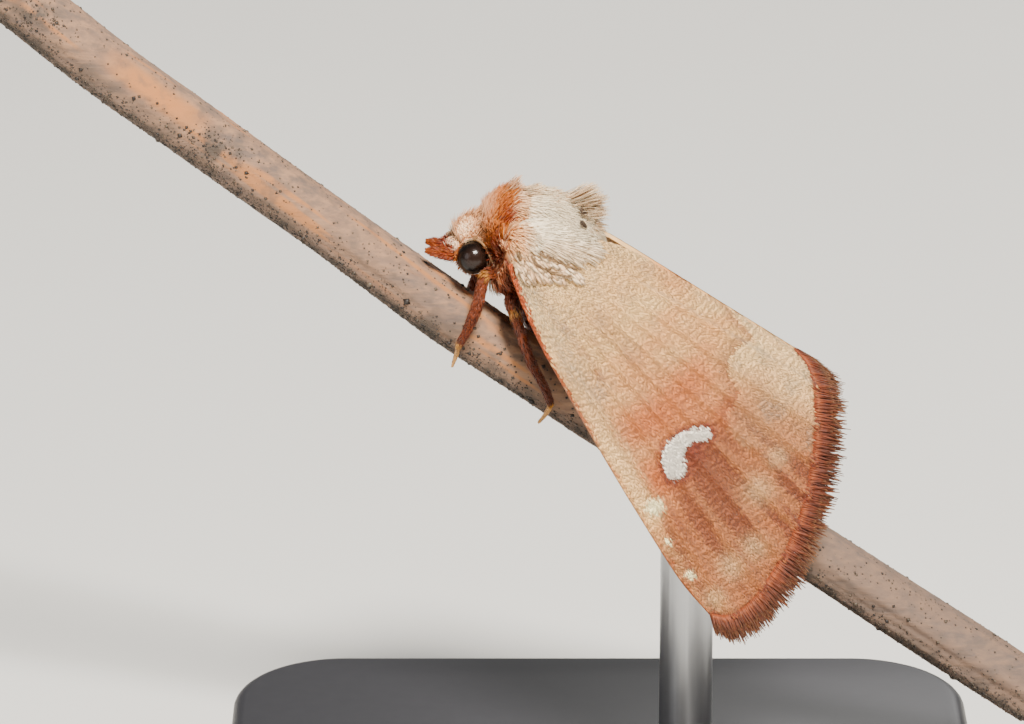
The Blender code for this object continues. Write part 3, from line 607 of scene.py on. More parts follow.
def fringeMaterial():
    # Fringe: long narrow scales, rust at the root, darker along the middle and worn pale at the tips
    material, tree, shader = newMaterial("fringe scales", {
        "Roughness": 0.55, "IOR": 1.45, "Sheen Weight": 0.04})
    reach, dark, low, shade = [addNode(tree, "Attribute", attribute_name=mark).outputs["Fac"]
                               for mark in ("reach", "dark", "low", "shade")]
    ramp = addNode(tree, "ValToRGB", {}, {"Fac": reach})
    for place, hexColour in ((0.0, "#863608"), (0.22, "#904212"), (0.50, "#682808"), (0.85, "#703410")):
        ramp.color_ramp.elements.new(place).color = linear(hexColour)
    ramp.color_ramp.elements.remove(ramp.color_ramp.elements[0])
    ramp.color_ramp.elements[-1].position = 1.0
    ramp.color_ramp.elements[-1].color = linear("#A87040")
    outerDark = addNode(tree, "Math", {}, {0: dark, 1: reach}, operation="MULTIPLY")
    faded = addNode(tree, "Math", {1: 0.20}, {0: low}, operation="MULTIPLY")
    colour = layered(tree, ramp.outputs["Color"], (outerDark, "#461604"), (faded, "#9C6038"))
    grain = addNode(tree, "MapRange", {"To Min": 0.72, "To Max": 1.15}, {"Value": shade})
    toned = addNode(tree, "HueSaturation", {}, {"Color": colour, "Value": grain})
    tree.links.new(toned.outputs[0], shader.inputs["Base Color"])
    return material


print("forewings")
forewingLook, fringeLook = wingMaterial(), fringeMaterial()
for word, side in bothSides:
    draw = np.random.default_rng(21)
    pieces = [makeMembrane(f"forewing_skin_{word}", side, forewing)]
    for half, span in forewing["pieces"].items():
        pieces.append(makeWingScales(f"forewing_{half}_scales_{word}", side, draw, span))
    pieces.append(makeWingScales(f"forewing_underscales_{word}", side, draw, forewing["whole"],
                                 under=True))
    for piece in pieces:
        finish(piece, forewingLook, "forewing_scales", f"forewing_{word}")
    fringe = makeFringe(f"forewing_fringe_{word}", side, draw)
    finish(fringe, fringeLook, "forewing_scales", f"forewing_{word}")
    print(word, [len(piece.data.polygons) for piece in (*pieces, fringe)])


# Body: forms of flesh that one skin covers, each with its centre, half sizes and tilt; some are pairs

bodyForms = {
    "head": ((0.02, 0.0, 2.04), (0.60, 0.50, 0.62), 0.0),
    "socket": ((0.14, 0.40, 1.70), (0.38, 0.30, 0.38), 0.0),
    "cheek": ((-0.26, 0.20, 1.46), (0.30, 0.22, 0.24), 0.0),
    "neck": ((0.38, 0.0, 2.90), (0.70, 0.84, 0.82), 0.0),
    "thorax": ((1.55, 0.0, 3.02), (1.55, 1.05, 1.25), 0.0),
    "crest": ((1.42, 0.0, 3.92), (0.66, 0.40, 0.42), -10.0),
    "shoulder": ((1.10, 1.00, 2.72), (0.80, 0.46, 0.62), 14.0),
    "collarside": ((0.62, 0.66, 2.50), (0.40, 0.34, 0.46), 0.0),
    "prothorax": ((1.04, 0.60, 1.94), (0.46, 0.40, 0.58), 0.0),
    "chest": ((1.40, 0.0, 2.14), (1.00, 0.72, 0.62), 8.0),
    "waist": ((3.20, 0.0, 2.72), (0.95, 0.66, 0.78), 0.0),
    "abdomen": ((5.70, 0.0, 2.55), (2.70, 0.66, 0.82), 0.0),
}
tegula = {"back": 1.42, "down": 1.12, "lift": 0.03, "turn": -17.0, "sizes": (0.76, 0.38, 0.09)}
pairedForms = ("socket", "cheek", "shoulder", "collarside", "prothorax")
skinSettings = {"voxel": 0.055, "smoothing": 6}

# Legs, palps and feelers on one side: their middle lines out to the tip, and their half widths
limbs = {
    "palp": ([(-0.14, 0.22, 1.40), (-0.42, 0.29, 1.28), (-0.64, 0.34, 1.17), (-0.80, 0.36, 1.09)],
             [0.17, 0.15, 0.10, 0.04]),
    "foreleg": ([(1.05, 0.35, 1.90), (0.86, 0.80, 1.76), (0.60, 1.12, 1.60), (0.88, 1.26, 0.86),
                 (1.06, 1.22, 0.26), (1.18, 1.08, -0.30), (1.32, 0.88, -0.62), (1.46, 0.74, -0.98)],
                [0.16, 0.17, 0.14, 0.15, 0.11, 0.085, 0.075, 0.045]),
    "midleg": ([(1.55, 0.35, 1.80), (1.50, 0.90, 1.52), (1.78, 1.22, 1.28), (2.80, 1.36, 0.56),
                (3.60, 1.24, 0.12), (4.02, 1.06, -0.20), (4.14, 0.90, -0.50), (4.18, 0.74, -0.88)],
               [0.16, 0.18, 0.16, 0.13, 0.11, 0.085, 0.075, 0.045]),
    "hindleg": ([(2.60, 0.35, 2.05), (3.20, 0.80, 1.45), (4.10, 1.14, 0.96), (5.30, 1.28, 0.42),
                 (6.20, 1.16, 0.05), (6.75, 1.00, -0.16), (7.10, 0.86, -0.34), (7.36, 0.74, -0.56)],
                [0.16, 0.17, 0.15, 0.12, 0.10, 0.08, 0.07, 0.045]),
}
antenna = {
    "line": [(-0.14, 0.50, 2.10), (0.10, 0.74, 2.16), (0.38, 0.86, 2.06), (0.62, 0.92, 1.94),
             (1.00, 0.98, 1.92), (1.70, 1.10, 1.94), (2.70, 1.30, 1.84), (4.00, 1.58, 1.52),
             (5.30, 1.88, 1.18)],
    "root": 0.036, "tip": 0.018, "segments": 84, "sides": 10, "scape": 0.075, "scapeJoints": 3,
    # along each joint: the place, its width and how pale it is
    "joint": ((0.04, 0.74, 0.1), (0.30, 0.95, 0.9), (0.75, 1.10, 0.8), (0.94, 0.78, 0.1)),
}


def sidePoints(points, side):                           # back, out and up of one side, in the moth's frame
    return np.array([(back, -side * out, up) for back, out, up in points], dtype=float)


def eachForm():                                         # every form with its paired copies and its turn
    for name, (centre, sizes, tilt) in bodyForms.items():
        sides = (1, -1) if name in pairedForms else (1,)
        turn = np.array(Matrix.Rotation(math.radians(tilt), 3, "Y"))
        for side in sides:
            yield name, np.array((centre[0], -side * centre[1], centre[2])), np.array(sizes), turn
    heading = math.radians(tegula["turn"])
    for side in (1, -1):
        here, along, normal = surfaceFrame(side, np.array([[tegula["back"], tegula["down"]]]),
                                           np.array([[math.cos(heading), math.sin(heading)]]), tegula["lift"])
        across = unit(np.cross(normal[0], along[0]))
        turn = np.stack([np.cross(across, normal[0]), across, normal[0]], axis=1)
        yield "tegula", here[0], np.array(tegula["sizes"]), turn


def formDepth(points, centre, sizes, turn):             # under 1 inside the form
    return np.linalg.norm((points - centre) @ turn / sizes, axis=1)


def sweep(name, points, radii, sides=12, rings=40):     # a round tube along a smooth line, closed at its ends
    clearSelection()
    curve = bpy.data.curves.new(name, "CURVE")
    curve.dimensions = "3D"
    curve.bevel_depth = 1.0
    curve.bevel_resolution = max(sides // 4 - 1, 1)
    curve.use_fill_caps = True
    line = curve.splines.new("POLY")
    line.points.add(rings)
    t = np.linspace(0.0, 1.0, rings + 1)
    places = curveAt(points, t)
    widths = curveAt([(radius, 0.0) for radius in radii], t)[:, 0]
    for i, point in enumerate(line.points):
        point.co = (*places[i], 1.0)
        point.radius = widths[i]
    obj = bpy.data.objects.new(name, curve)
    bpy.context.scene.collection.objects.link(obj)
    makeActive(obj)
    bpy.ops.object.convert(target="MESH")
    mendMesh(bpy.context.object, doubles=0.001)
    return bpy.context.object


def joinAll(objects, name):
    clearSelection()
    for obj in objects:
        obj.select_set(True)
    bpy.context.view_layer.objects.active = objects[0]
    bpy.ops.object.join()
    obj = bpy.context.object
    obj.name = name
    return obj


def makeSkin():
    parts = []
    for name, centre, sizes, turn in eachForm():
        clearSelection()
        bpy.ops.mesh.primitive_uv_sphere_add(segments=48, ring_count=28, radius=1.0)
        form = bpy.context.object
        form.data.transform(Matrix.Translation(centre) @ Matrix(turn.tolist()).to_4x4()
                            @ Matrix.Diagonal((*sizes, 1.0)))
        parts.append(form)
    for side in (1, -1):
        for name, (points, radii) in limbs.items():
            parts.append(sweep(name, sidePoints(points, side), radii))
    skin = joinAll(parts, "body_skin")
    remesh = skin.modifiers.new("one skin", "REMESH")
    remesh.mode = "VOXEL"
    remesh.voxel_size = skinSettings["voxel"]
    relax = skin.modifiers.new("relax", "SMOOTH")
    relax.factor = 0.5
    relax.iterations = skinSettings["smoothing"]
    applyModifiers(skin)
    bpy.ops.object.shade_smooth()
    return skin


# Body markings: how much of each colour a place on the body or its coat carries

bodyColours = {                      # laid over the cream ground in this order
    "peach": "#F0A45C", "orange": "#BE6812", "brick": "#7E2804", "brown": "#A07642", "legBrown": "#74300C",
    "straw": "#D08E34", "dark": "#2C140A",
}


def behindCollar(p):                                    # how far places lie behind the collar's rear edge
    lowerBulge = 0.17 * np.exp(-((p[:, 2] - 2.45) / 0.40) ** 2)
    return p[:, 0] - 0.5 * (3.4 - p[:, 2]) + 0.06 - lowerBulge


def behindFace(p):                                      # how far places lie behind the cream face
    return np.maximum(p[:, 0] + 0.62 - 0.95 * np.abs(p[:, 1]), 2.0 * (p[:, 2] - 2.60))


def bodyMasks(points, draw=None):
    p = points + (draw.normal(0.0, 0.04, points.shape) if draw is not None else 0.0)
    back, out, up = p[:, 0], np.abs(p[:, 1]), p[:, 2]
    patchy = smooth(waves(p, 6.0, 12), 0.35, 0.65)
    behind = behindCollar(p)
    ahead = fade(back, 3.2, 3.8)
    onCollar = smooth(behindFace(p), -0.10, 0.00) * fade(behind, -0.06, 0.06) * smooth(up, 1.5, 1.8)
    masks = {}
    masks["peach"] = (0.85 * smooth(behind, -0.05, 0.05) * fade(behind, 0.10, 0.75) * ahead
                      * (1.0 - 0.75 * smooth(up, 3.1, 3.9)))
    onFace = fade(behindFace(p), -0.06, 0.06) * smooth(up, 1.4, 1.6)
    masks["peach"] = np.maximum(masks["peach"], onFace * (0.08 + 0.60 * smooth(behindFace(p), -0.28, 0.0)))
    masks["orange"] = onCollar * (0.70 + 0.30 * smooth(behind, -0.8, -0.3))
    lateral = fade(up, 2.25, 2.60) * smooth(out, 0.4, 0.8)
    streaks = smooth(behind, -0.42, -0.22) * patchy * smooth(out, 0.15, 0.5) * fade(up, 3.1, 3.4)
    masks["brick"] = np.clip(onCollar * (0.12 + 0.75 * streaks + 0.32 * lateral), 0.0, 1.0)
    shoulder = smooth(behind, -0.05, 0.05) * fade(up, 2.30, 2.55) * fade(back, 0.7, 1.3)
    face = fade(up, 1.42, 1.60) * fade(back, 0.1, 0.4)
    masks["brick"] = np.maximum(masks["brick"], np.maximum(face, 0.9 * shoulder))
    masks["brown"] = 0.55 * smooth(back, 3.2, 3.9) * (0.6 + 0.4 * patchy)
    masks["legBrown"] = fade(up, 2.1, 2.4) * smooth(back, 0.5, 1.0) * ahead
    masks["straw"] = np.zeros(len(p))
    masks["dark"] = np.zeros(len(p))
    return masks


def bodyMaterial():
    # Hair scales: flattened hollow hairs, dry but glossy where they lie together
    material, tree, shader = newMaterial("hair scales, cream and brick", {
        "Roughness": 0.42, "IOR": 1.42, "Sheen Weight": 0.03, "Sheen Roughness": 0.35})
    place = addNode(tree, "TexCoord").outputs["Object"]
    cloud = addNode(tree, "TexNoise", {"Scale": 1400.0, "Detail": 3.0}, {"Vector": place})
    marks = {mark: addNode(tree, "Attribute", attribute_name=mark).outputs["Fac"]
             for mark in (*bodyColours, "reach", "shade")}
    colour = layered(tree, "#FFF2D4", (cloud, "#FDE4BC"),
                     *[(marks[mark], hexColour) for mark, hexColour in bodyColours.items()])
    # painted shade: each hair and scale is darker towards its root, where the coat shades it
    rootShade = addNode(tree, "MapRange", {"To Min": 0.88, "To Max": 1.02}, {"Value": marks["reach"]})
    grain = addNode(tree, "MapRange", {"To Min": 0.88, "To Max": 1.08}, {"Value": marks["shade"]})
    value = addNode(tree, "Math", {}, {0: rootShade, 1: grain}, operation="MULTIPLY")
    toned = addNode(tree, "HueSaturation", {}, {"Color": colour, "Value": value})
    tree.links.new(toned.outputs[0], shader.inputs["Base Color"])
    return material


def markPiece(obj, masks, draw):
    for mark, values in masks.items():
        setAttribute(obj, mark, values)
    setAttribute(obj, "shade", draw.uniform(0.0, 1.0, len(values)))


def noMasks(count):
    return {mark: np.zeros(count) for mark in bodyColours}


# Coats of the body, each on the places of the skin that its test picks

def lieOfThorax(p):
    return np.array((1.0, 0.0, 0.10)) + np.sign(p[:, 1])[:, None] * np.array((0.0, 0.06, 0.0))


def lieOfCollar(p):
    leaning = 0.35 * smooth(behindCollar(p), -0.5, 0.0)[:, None]
    return np.array((-0.05, 0.0, 1.0)) + leaning * np.array((1.0, 0.0, 0.0))


rootDepth = 0.03                     # how far a hair's root lies under the skin
seams = {"face": 1.42, "cheeks": 1.46, "collar": 1.62, "chest": 2.3, "thorax": 3.2, "waist": 3.4}
coats = {
    "face": {"slot": "head_scales", "node": "head", "density": 900.0, "length": 0.20, "width": 0.070,
             "angle": 34.0, "bend": 0.20, "spread": 0.40, "sections": 3, "stand": 0.5,
             "lie": (-0.35, 0.0, 1.0),
             "where": lambda p: (behindFace(p) < 0.0) & (p[:, 2] > seams["face"])},
    "cheeks": {"slot": "palp_scales", "node": "head", "density": 420.0, "length": 0.22, "width": 0.05,
               "angle": 24.0, "bend": 0.15, "spread": 0.25, "sections": 3, "stand": 0.3,
               "lie": (-0.9, 0.0, -0.35),
               "where": lambda p: (p[:, 0] < 0.45) & (p[:, 2] <= seams["cheeks"])},
    "collar": {"slot": "collar_hair", "node": "collar", "density": 640.0, "length": 0.46, "width": 0.042,
               "angle": 14.0, "bend": 0.10, "spread": 0.14, "sections": 4, "stand": 0.35,
               "lie": lieOfCollar,
               "where": lambda p: ((behindFace(p) >= 0.0) & (behindCollar(p) < 0.02)
                                   & (p[:, 2] > seams["collar"]))},
    "thorax": {"slot": "thorax_hair", "node": "thorax", "density": 1040.0, "length": 0.44, "width": 0.050,
               "angle": 5.0, "bend": 0.03, "spread": 0.09, "sections": 3, "stand": 0.12,
               "lie": lieOfThorax,
               "where": lambda p: ((behindCollar(p) >= 0.0) & (p[:, 0] < seams["thorax"])
                                   & (p[:, 2] > seams["chest"]) & ~underWing(p))},
    "chest": {"slot": "leg_scales", "node": "thorax", "density": 200.0, "length": 0.40, "width": 0.06,
              "angle": 14.0, "bend": 0.12, "spread": 0.22, "sections": 3, "stand": 0.3,
              "lie": (1.0, 0.0, -0.3),
              "where": lambda p: ((p[:, 0] > 0.40) & (p[:, 0] < seams["waist"])
                                  & (p[:, 2] <= seams["chest"]))},
    "abdomen": {"slot": "abdomen_scales", "node": "abdomen", "density": 110.0, "length": 0.34,
                "width": 0.15, "angle": 7.0, "bend": 0.04, "spread": 0.12, "sections": 3, "stand": 0.2,
                "lie": (1.0, 0.0, 0.0),
                "where": lambda p: p[:, 0] >= seams["waist"]},
}


def underWing(p):                                       # places that the forewing covers
    down, lift = roofPlace(p)
    flat = np.stack([p[:, 0], down], axis=1)
    shields = insideOf(flat, np.array(wingRoot["outline"])) & (lift > -0.30)
    return shields | ((lift < -0.10) & insideOf(flat, wingOutline(forewing)))


def formRoots(draw, density):                           # places and normals all over the skin's forms
    places, normals, uvs, names = [], [], [], []
    forms = list(eachForm())
    for index, (name, centre, sizes, turn) in enumerate(forms):
        area = 4.0 * math.pi * np.mean((sizes[[0, 0, 1]] * sizes[[1, 2, 2]]) ** 1.6) ** (1.0 / 1.6)
        count = int(area * density * 1.6)
        direction = unit(draw.normal(size=(count, 3)))
        stretch = np.linalg.norm(direction / sizes, axis=1)
        keep = draw.random(count) < stretch / stretch.max()
        direction = direction[keep]
        point = centre + (direction * sizes) @ turn.T
        inside = np.zeros(len(point), dtype=bool)
        for other, (_, centre2, sizes2, turn2) in enumerate(forms):
            if other != index:
                inside |= formDepth(point, centre2, sizes2, turn2) < 1.0
        longitude = np.arctan2(direction[:, 1], direction[:, 0]) / (2.0 * math.pi) + 0.5
        latitude = np.arcsin(np.clip(direction[:, 2], -1.0, 1.0)) / math.pi + 0.5
        column, row = index % 5, index // 5             # the map has a field for each form
        uv = np.stack([column + 0.03 + 0.94 * longitude, row + 0.03 + 0.94 * latitude], axis=1) / 5.0
        places.append(point[~inside])
        normals.append((unit(direction / sizes) @ turn.T)[~inside])
        uvs.append(uv[~inside])
        names += [name] * int(np.count_nonzero(~inside))
    return np.vstack(places), np.vstack(normals), np.vstack(uvs), np.array(names)


def makeCoat(name, settings, draw):
    points, normals, uvs, names = formRoots(draw, settings["density"])
    chosen = settings["where"](points) & (names != "tegula")
    points, normals, uvs = points[chosen], normals[chosen], uvs[chosen]
    lie = settings["lie"](points) if callable(settings["lie"]) else np.array(settings["lie"])
    lie = lie + draw.normal(0.0, settings["spread"], points.shape)
    for side in (1, -1):                                # the eye stays clear
        toEye = sidePoints([eye["place"]], side) - points
        facing = np.sum(unit(toEye) * unit(lie), axis=1)
        room = eye["room"] + 0.6 * settings["length"] * np.clip(facing, 0.0, 1.0)
        keep = np.linalg.norm(toEye, axis=1) > room
        points, normals, uvs, lie = points[keep], normals[keep], uvs[keep], lie[keep]
    along = unit(lie - normals * np.sum(lie * normals, axis=1, keepdims=True))
    standing = np.abs(np.sum(unit(lie) * normals, axis=1))
    count = len(points)
    angle = np.radians(settings["angle"] * draw.uniform(0.5, 1.5, count)) + standing * settings["stand"]
    length = settings["length"] * draw.uniform(0.7, 1.15, count)
    width = settings["width"] * draw.uniform(0.7, 1.2, count)
    bend = settings["bend"] * draw.uniform(0.5, 1.4, count)
    obj = hairCoat(f"coat_{name}", points - normals * rootDepth, along, normals, length, width, hairHeight,
                   angle, bend, uvs, settings["sections"])
    markPiece(obj, bodyMasks(points, draw), draw)
    return obj


# Tegula hair: long flat scales from the shoulder plate back over the root of the wing

tegulaHair = {"count": 3400, "length": 0.50, "width": 0.042, "angle": 7.0}


def makeTegulaCoat(name, side, draw):
    count = tegulaHair["count"]
    spot = draw.uniform(-1.0, 1.0, (count * 2, 2))
    spot = spot[np.sum(spot ** 2, axis=1) < 1.0][:count]
    count = len(spot)
    heading = math.radians(tegula["turn"])
    x = (1.18 * spot[:, 0] - 0.18) * tegula["sizes"][0]
    y = 1.15 * spot[:, 1] * tegula["sizes"][1]
    flat = np.stack([tegula["back"] + x * math.cos(heading) - y * math.sin(heading),
                     tegula["down"] + x * math.sin(heading) + y * math.cos(heading)], axis=1)
    low = smooth(spot[:, 1] + 0.35 * spot[:, 0], -0.10, 0.60)
    clump = np.sin(15.0 * spot[:, 0] + 3.0 * spot[:, 1])  # over 0 on a lock, under 0 between two
    between = low * smooth(-clump, -0.1, 0.4)
    turned = heading + draw.normal(0.0, 0.10, count) + 0.25 * spot[:, 1] + 0.22 * low - 0.20 * low * clump
    crown = tegula["sizes"][2] * np.sqrt(1.0 - np.sum(spot ** 2, axis=1))
    lift = tegula["lift"] + crown - 0.02 - 0.03 * between
    here, along, normal = surfaceFrame(side, flat, np.stack([np.cos(turned), np.sin(turned)], axis=1), lift)
    angle = np.radians(tegulaHair["angle"]) * draw.uniform(0.2, 1.6, count) * (1.0 + 0.6 * low)
    length = tegulaHair["length"] * draw.uniform(0.6, 1.15, count)
    length = length * (1.0 + 0.35 * low) * (1.0 - 0.55 * between)
    width = tegulaHair["width"] * draw.uniform(0.6, 1.2, count)
    obj = hairCoat(name, here, along, normal, length, width, hairHeight, angle,
                   draw.uniform(0.02, 0.16, count), roofUv(flat))
    masks = bodyMasks(here, draw)
    # painted shade: hairs in the gaps between two locks are coloured brown and dark for the shadow there
    masks["brown"] = np.clip(1.2 * between + 0.40 * draw.random(count) * low, 0.0, 1.0)
    masks["dark"] = 0.80 * between * draw.random(count)
    masks["peach"] = 0.35 * masks["peach"] + 0.20 * low
    masks["legBrown"] = masks["legBrown"] * 0.0
    markPiece(obj, masks, draw)
    return obj


# Root of the wing: rows of broad shields under the tegula's edge, and dark hairs along the seams between
# locks as painted shadow

wingRoot = {
    "outline": [(0.66, 1.80), (0.98, 1.58), (1.50, 1.52), (2.20, 1.56), (2.40, 1.76), (1.75, 2.10),
                (1.22, 2.44), (0.88, 2.36), (0.74, 2.10)],
    "rowGap": 0.095, "gap": 0.070, "length": 0.34, "width": 0.110, "lift": 0.09, "ridge": 0.009,
    "seamShadows": [[(0.66, 1.90), (0.80, 1.78), (1.00, 1.72), (1.45, 1.70), (1.85, 1.64), (2.30, 1.58)],
             [(0.72, 1.80), (0.78, 1.92), (0.86, 2.02)],
             [(1.10, 1.88), (1.40, 1.99), (1.80, 1.97), (2.20, 1.86)]],
    "seamShadowHairs": 90,
}


def makeWingRoot(name, side, draw):
    points = hexGrid(np.array(wingRoot["outline"]), wingRoot["rowGap"], wingRoot["gap"], draw)
    count, down = len(points), points[:, 1]
    turned = draw.normal(0.28, 0.16, count) + 0.20 * smooth(down, 1.8, 2.3)
    heading = np.stack([np.cos(turned), np.sin(turned)], axis=1)
    here, along, normal = surfaceFrame(side, points, heading, wingRoot["lift"] - 0.03 * draw.random(count))
    shields = scaleCoat(name, here, along, normal, wingRoot["length"] * draw.uniform(0.7, 1.2, count),
                        wingRoot["width"] * draw.uniform(0.7, 1.3, count), draw.uniform(0.00, 0.035, count),
                        wingRoot["ridge"], roofUv(points))
    gap = np.min([distanceTo(points + 0.10 * heading, line)[0] for line in wingRoot["seamShadows"]], axis=0)
    masks = noMasks(count)
    # painted shade: shields near a seam turn brown, besides their random brown
    brown = 0.45 * draw.random(count) ** 2 + 0.5 * fade(gap, 0.03, 0.12) * draw.random(count)
    masks["peach"] = 0.25 + 0.35 * draw.random(count)
    masks["brown"] = np.maximum(brown, 0.35 * smooth(down, 1.9, 2.3))
    markPiece(shields, masks, draw)
    setAttribute(shields, "reach", np.tile((0.2, 0.6, 1.0, 1.0, 0.6, 0.2, 0.8), count))

    # painted shadow: thin dark brown hairs laid along each seam between the shields
    roots, headings = [], []
    for line in wingRoot["seamShadows"]:
        t = draw.uniform(0.0, 1.0, wingRoot["seamShadowHairs"])
        ahead = curveAt(line, np.minimum(t + 0.03, 1.0)) - curveAt(line, np.maximum(t - 0.03, 0.0))
        roots.append(curveAt(line, t) + draw.normal(0.0, 0.014, (len(t), 2)))
        headings.append(unit(ahead) + draw.normal(0.0, 0.10, (len(t), 2)))
    roots = np.vstack(roots)
    count = len(roots)
    here, along, normal = surfaceFrame(side, roots, unit(np.vstack(headings)), wingRoot["lift"] + 0.045)
    hairs = hairCoat(f"{name}_gaps", here, along, normal, draw.uniform(0.10, 0.22, count),
                     draw.uniform(0.018, 0.032, count), 0.2, draw.uniform(0.0, 0.08, count),
                     draw.uniform(0.0, 0.10, count), roofUv(roots), 3)
    masks = noMasks(count)
    masks["brown"] = np.full(count, 0.9)
    masks["dark"] = draw.uniform(0.15, 0.85, count)
    markPiece(hairs, masks, draw)
    return shields, hairs


# Tufts that stand out of the coat: where each roots, how far that spreads and where it points, then the
# length, number, width and fan of its hairs and how dark they are

tufts = {
    "brow": ((-0.16, 0.0, 3.40), (0.08, 0.26, 0.06), (0.24, 0.0, 0.97), 0.60, 170, 0.028, 0.08, 0.0),
    "crown": ((0.26, 0.0, 3.76), (0.10, 0.30, 0.06), (0.66, 0.0, 0.75), 0.50, 190, 0.030, 0.10, 0.0),
    "nape": ((0.80, 0.0, 4.06), (0.28, 0.36, 0.05), (0.88, 0.0, 0.47), 0.48, 320, 0.034, 0.10, 0.0),
    "crestFront": ((1.26, 0.0, 4.22), (0.16, 0.26, 0.06), (0.52, 0.0, 0.85), 0.86, 300, 0.032, 0.08, 0.0),
    "crestTop": ((1.42, 0.0, 4.22), (0.16, 0.28, 0.06), (0.68, 0.0, 0.73), 0.88, 320, 0.032, 0.08, 0.0),
    "crestRear": ((1.62, 0.0, 4.16), (0.16, 0.30, 0.06), (0.82, 0.0, 0.57), 0.78, 320, 0.032, 0.09, 0.0),
    "crestEnd": ((1.94, 0.0, 4.08), (0.18, 0.34, 0.05), (0.96, 0.0, 0.22), 0.52, 260, 0.034, 0.10, 0.0),
}
for word, side in bothSides:         # two small dark spots on each side of the crest
    tufts[f"upperSpot_{word}"] = ((1.64, -side * 0.42, 4.42), (0.06, 0.06, 0.02), (0.96, 0.0, -0.18),
                                  0.18, 70, 0.036, 0.10, 0.9)
    tufts[f"lowerSpot_{word}"] = ((1.78, -side * 0.65, 4.34), (0.06, 0.06, 0.02), (0.94, 0.0, -0.22),
                                  0.19, 70, 0.036, 0.10, 0.9)


def makeTufts(draw):
    roots, alongs, lengths, widths, uvs, darks = [], [], [], [], [], []
    for index, (place, spread, towards, length, count, width, fan, dark) in enumerate(tufts.values()):
        offset = draw.normal(0.0, 0.5, (count, 3)) * spread
        root = np.array(place) + offset
        root[:, 2] -= 0.5 * root[:, 1] ** 2
        heading = np.array(towards) + draw.normal(0.0, fan, (count, 3))
        heading[:, 1] += offset[:, 1] * 0.5
        roots.append(root)
        alongs.append(unit(heading))
        lengths.append(length * draw.uniform(0.55, 1.05, count))
        widths.append(width * draw.uniform(0.7, 1.2, count))
        darks.append(np.full(count, dark))
        uvs.append(np.stack([0.04 + 0.08 * index + offset[:, 0] * 0.10, 0.90 + offset[:, 1] * 0.1], axis=1))
    root, along = np.vstack(roots), np.vstack(alongs)
    count = len(root)
    normal = unit(np.cross(along, np.array((0.0, -1.0, 0.0))) + draw.normal(0.0, 0.3, (count, 3)))
    normal = unit(normal - along * np.sum(normal * along, axis=1, keepdims=True))
    obj = hairCoat("coat_tufts", root, along, normal, np.concatenate(lengths), np.concatenate(widths), 0.25,
                   np.zeros(count), draw.uniform(0.0, 0.14, count), np.vstack(uvs), 5)
    masks = bodyMasks(root, draw)
    masks["brown"] = 0.62 * draw.random(count) * smooth(root[:, 0], 0.9, 1.4)
    masks["peach"] = 0.45 * draw.random(count)
    masks["orange"] = masks["orange"] * 0.5
    masks["dark"] = np.concatenate(darks)
    markPiece(obj, masks, draw)
    return obj


# Eyes' place and size, which the coat around them keeps clear

eye = {"place": (0.15, 0.60, 1.69), "sizes": (0.435, 0.43, 0.435), "room": 0.47, "facet": 0.030}


print("body")
skinLook = bodyMaterial()
skin = makeSkin()
places = readPoints(skin).astype(float)
skinMasks = bodyMasks(places)
limbGap = np.full(len(places), far)
for word, side in bothSides:
    for name in ("foreleg", "midleg", "hindleg"):
        for point in curveAt(sidePoints(limbs[name][0], side), np.linspace(0.1, 1.0, 60)):
            limbGap = np.minimum(limbGap, np.linalg.norm(places - point, axis=1))
skinMasks["legBrown"] = np.maximum(skinMasks["legBrown"], fade(limbGap, 0.25, 0.40))
for mark, values in {**skinMasks, "shade": [0.4], "reach": [0.55]}.items():
    setAttribute(skin, mark, values)
fleshNodes = ["head", "collar", "thorax", "tegula_left", "tegula_right", "abdomen", "palp_left", "palp_right",
              "foreleg_left", "foreleg_right", "midleg_left", "midleg_right", "hindleg_left", "hindleg_right"]
finish(skin, skinLook, "thorax_hair", *fleshNodes)
draw = np.random.default_rng(7)
for name, settings in coats.items():
    coat = makeCoat(name, settings, draw)
    finish(coat, skinLook, settings["slot"], settings["node"])
    print(name, len(coat.data.polygons))
for word, side in bothSides:
    coat = makeTegulaCoat(f"tegula_coat_{word}", side, np.random.default_rng(17))
    for piece in (coat, *makeWingRoot(f"wing_root_{word}", side, np.random.default_rng(19))):
        finish(piece, skinLook, "thorax_hair", f"tegula_{word}")
finish(makeTufts(draw), skinLook, "thorax_hair", "thorax", "collar")


# Coats of the palps and legs: hair scales along each limb

limbCoats = {
    "palp": {"count": 1500, "length": 0.22, "width": 0.036, "angle": 17.0, "slot": "palp_scales"},
    "foreleg": {"count": 2000, "length": 0.19, "width": 0.045, "angle": 13.0, "slot": "leg_scales",
                "inShade": 0.10},
    "midleg": {"count": 1600, "length": 0.19, "width": 0.048, "angle": 13.0, "slot": "leg_scales",
               "inShade": 0.45},
    "hindleg": {"count": 1400, "length": 0.19, "width": 0.050, "angle": 13.0, "slot": "leg_scales",
                "inShade": 0.40},
}


def limbFrame(points, radii, t, around):                # places, directions along and normals round a limb
    along = unit(curveAt(points, np.minimum(t + 0.01, 1.0)) - curveAt(points, np.maximum(t - 0.01, 0.0)))
    radius = curveAt([(r, 0.0) for r in radii], t)[:, 0]
    first = unit(np.cross(along, np.array((0.31, 0.0, 0.95))))
    second = np.cross(along, first)
    normal = first * np.cos(around)[:, None] + second * np.sin(around)[:, None]
    return curveAt(points, t) + normal * radius[:, None], along, normal


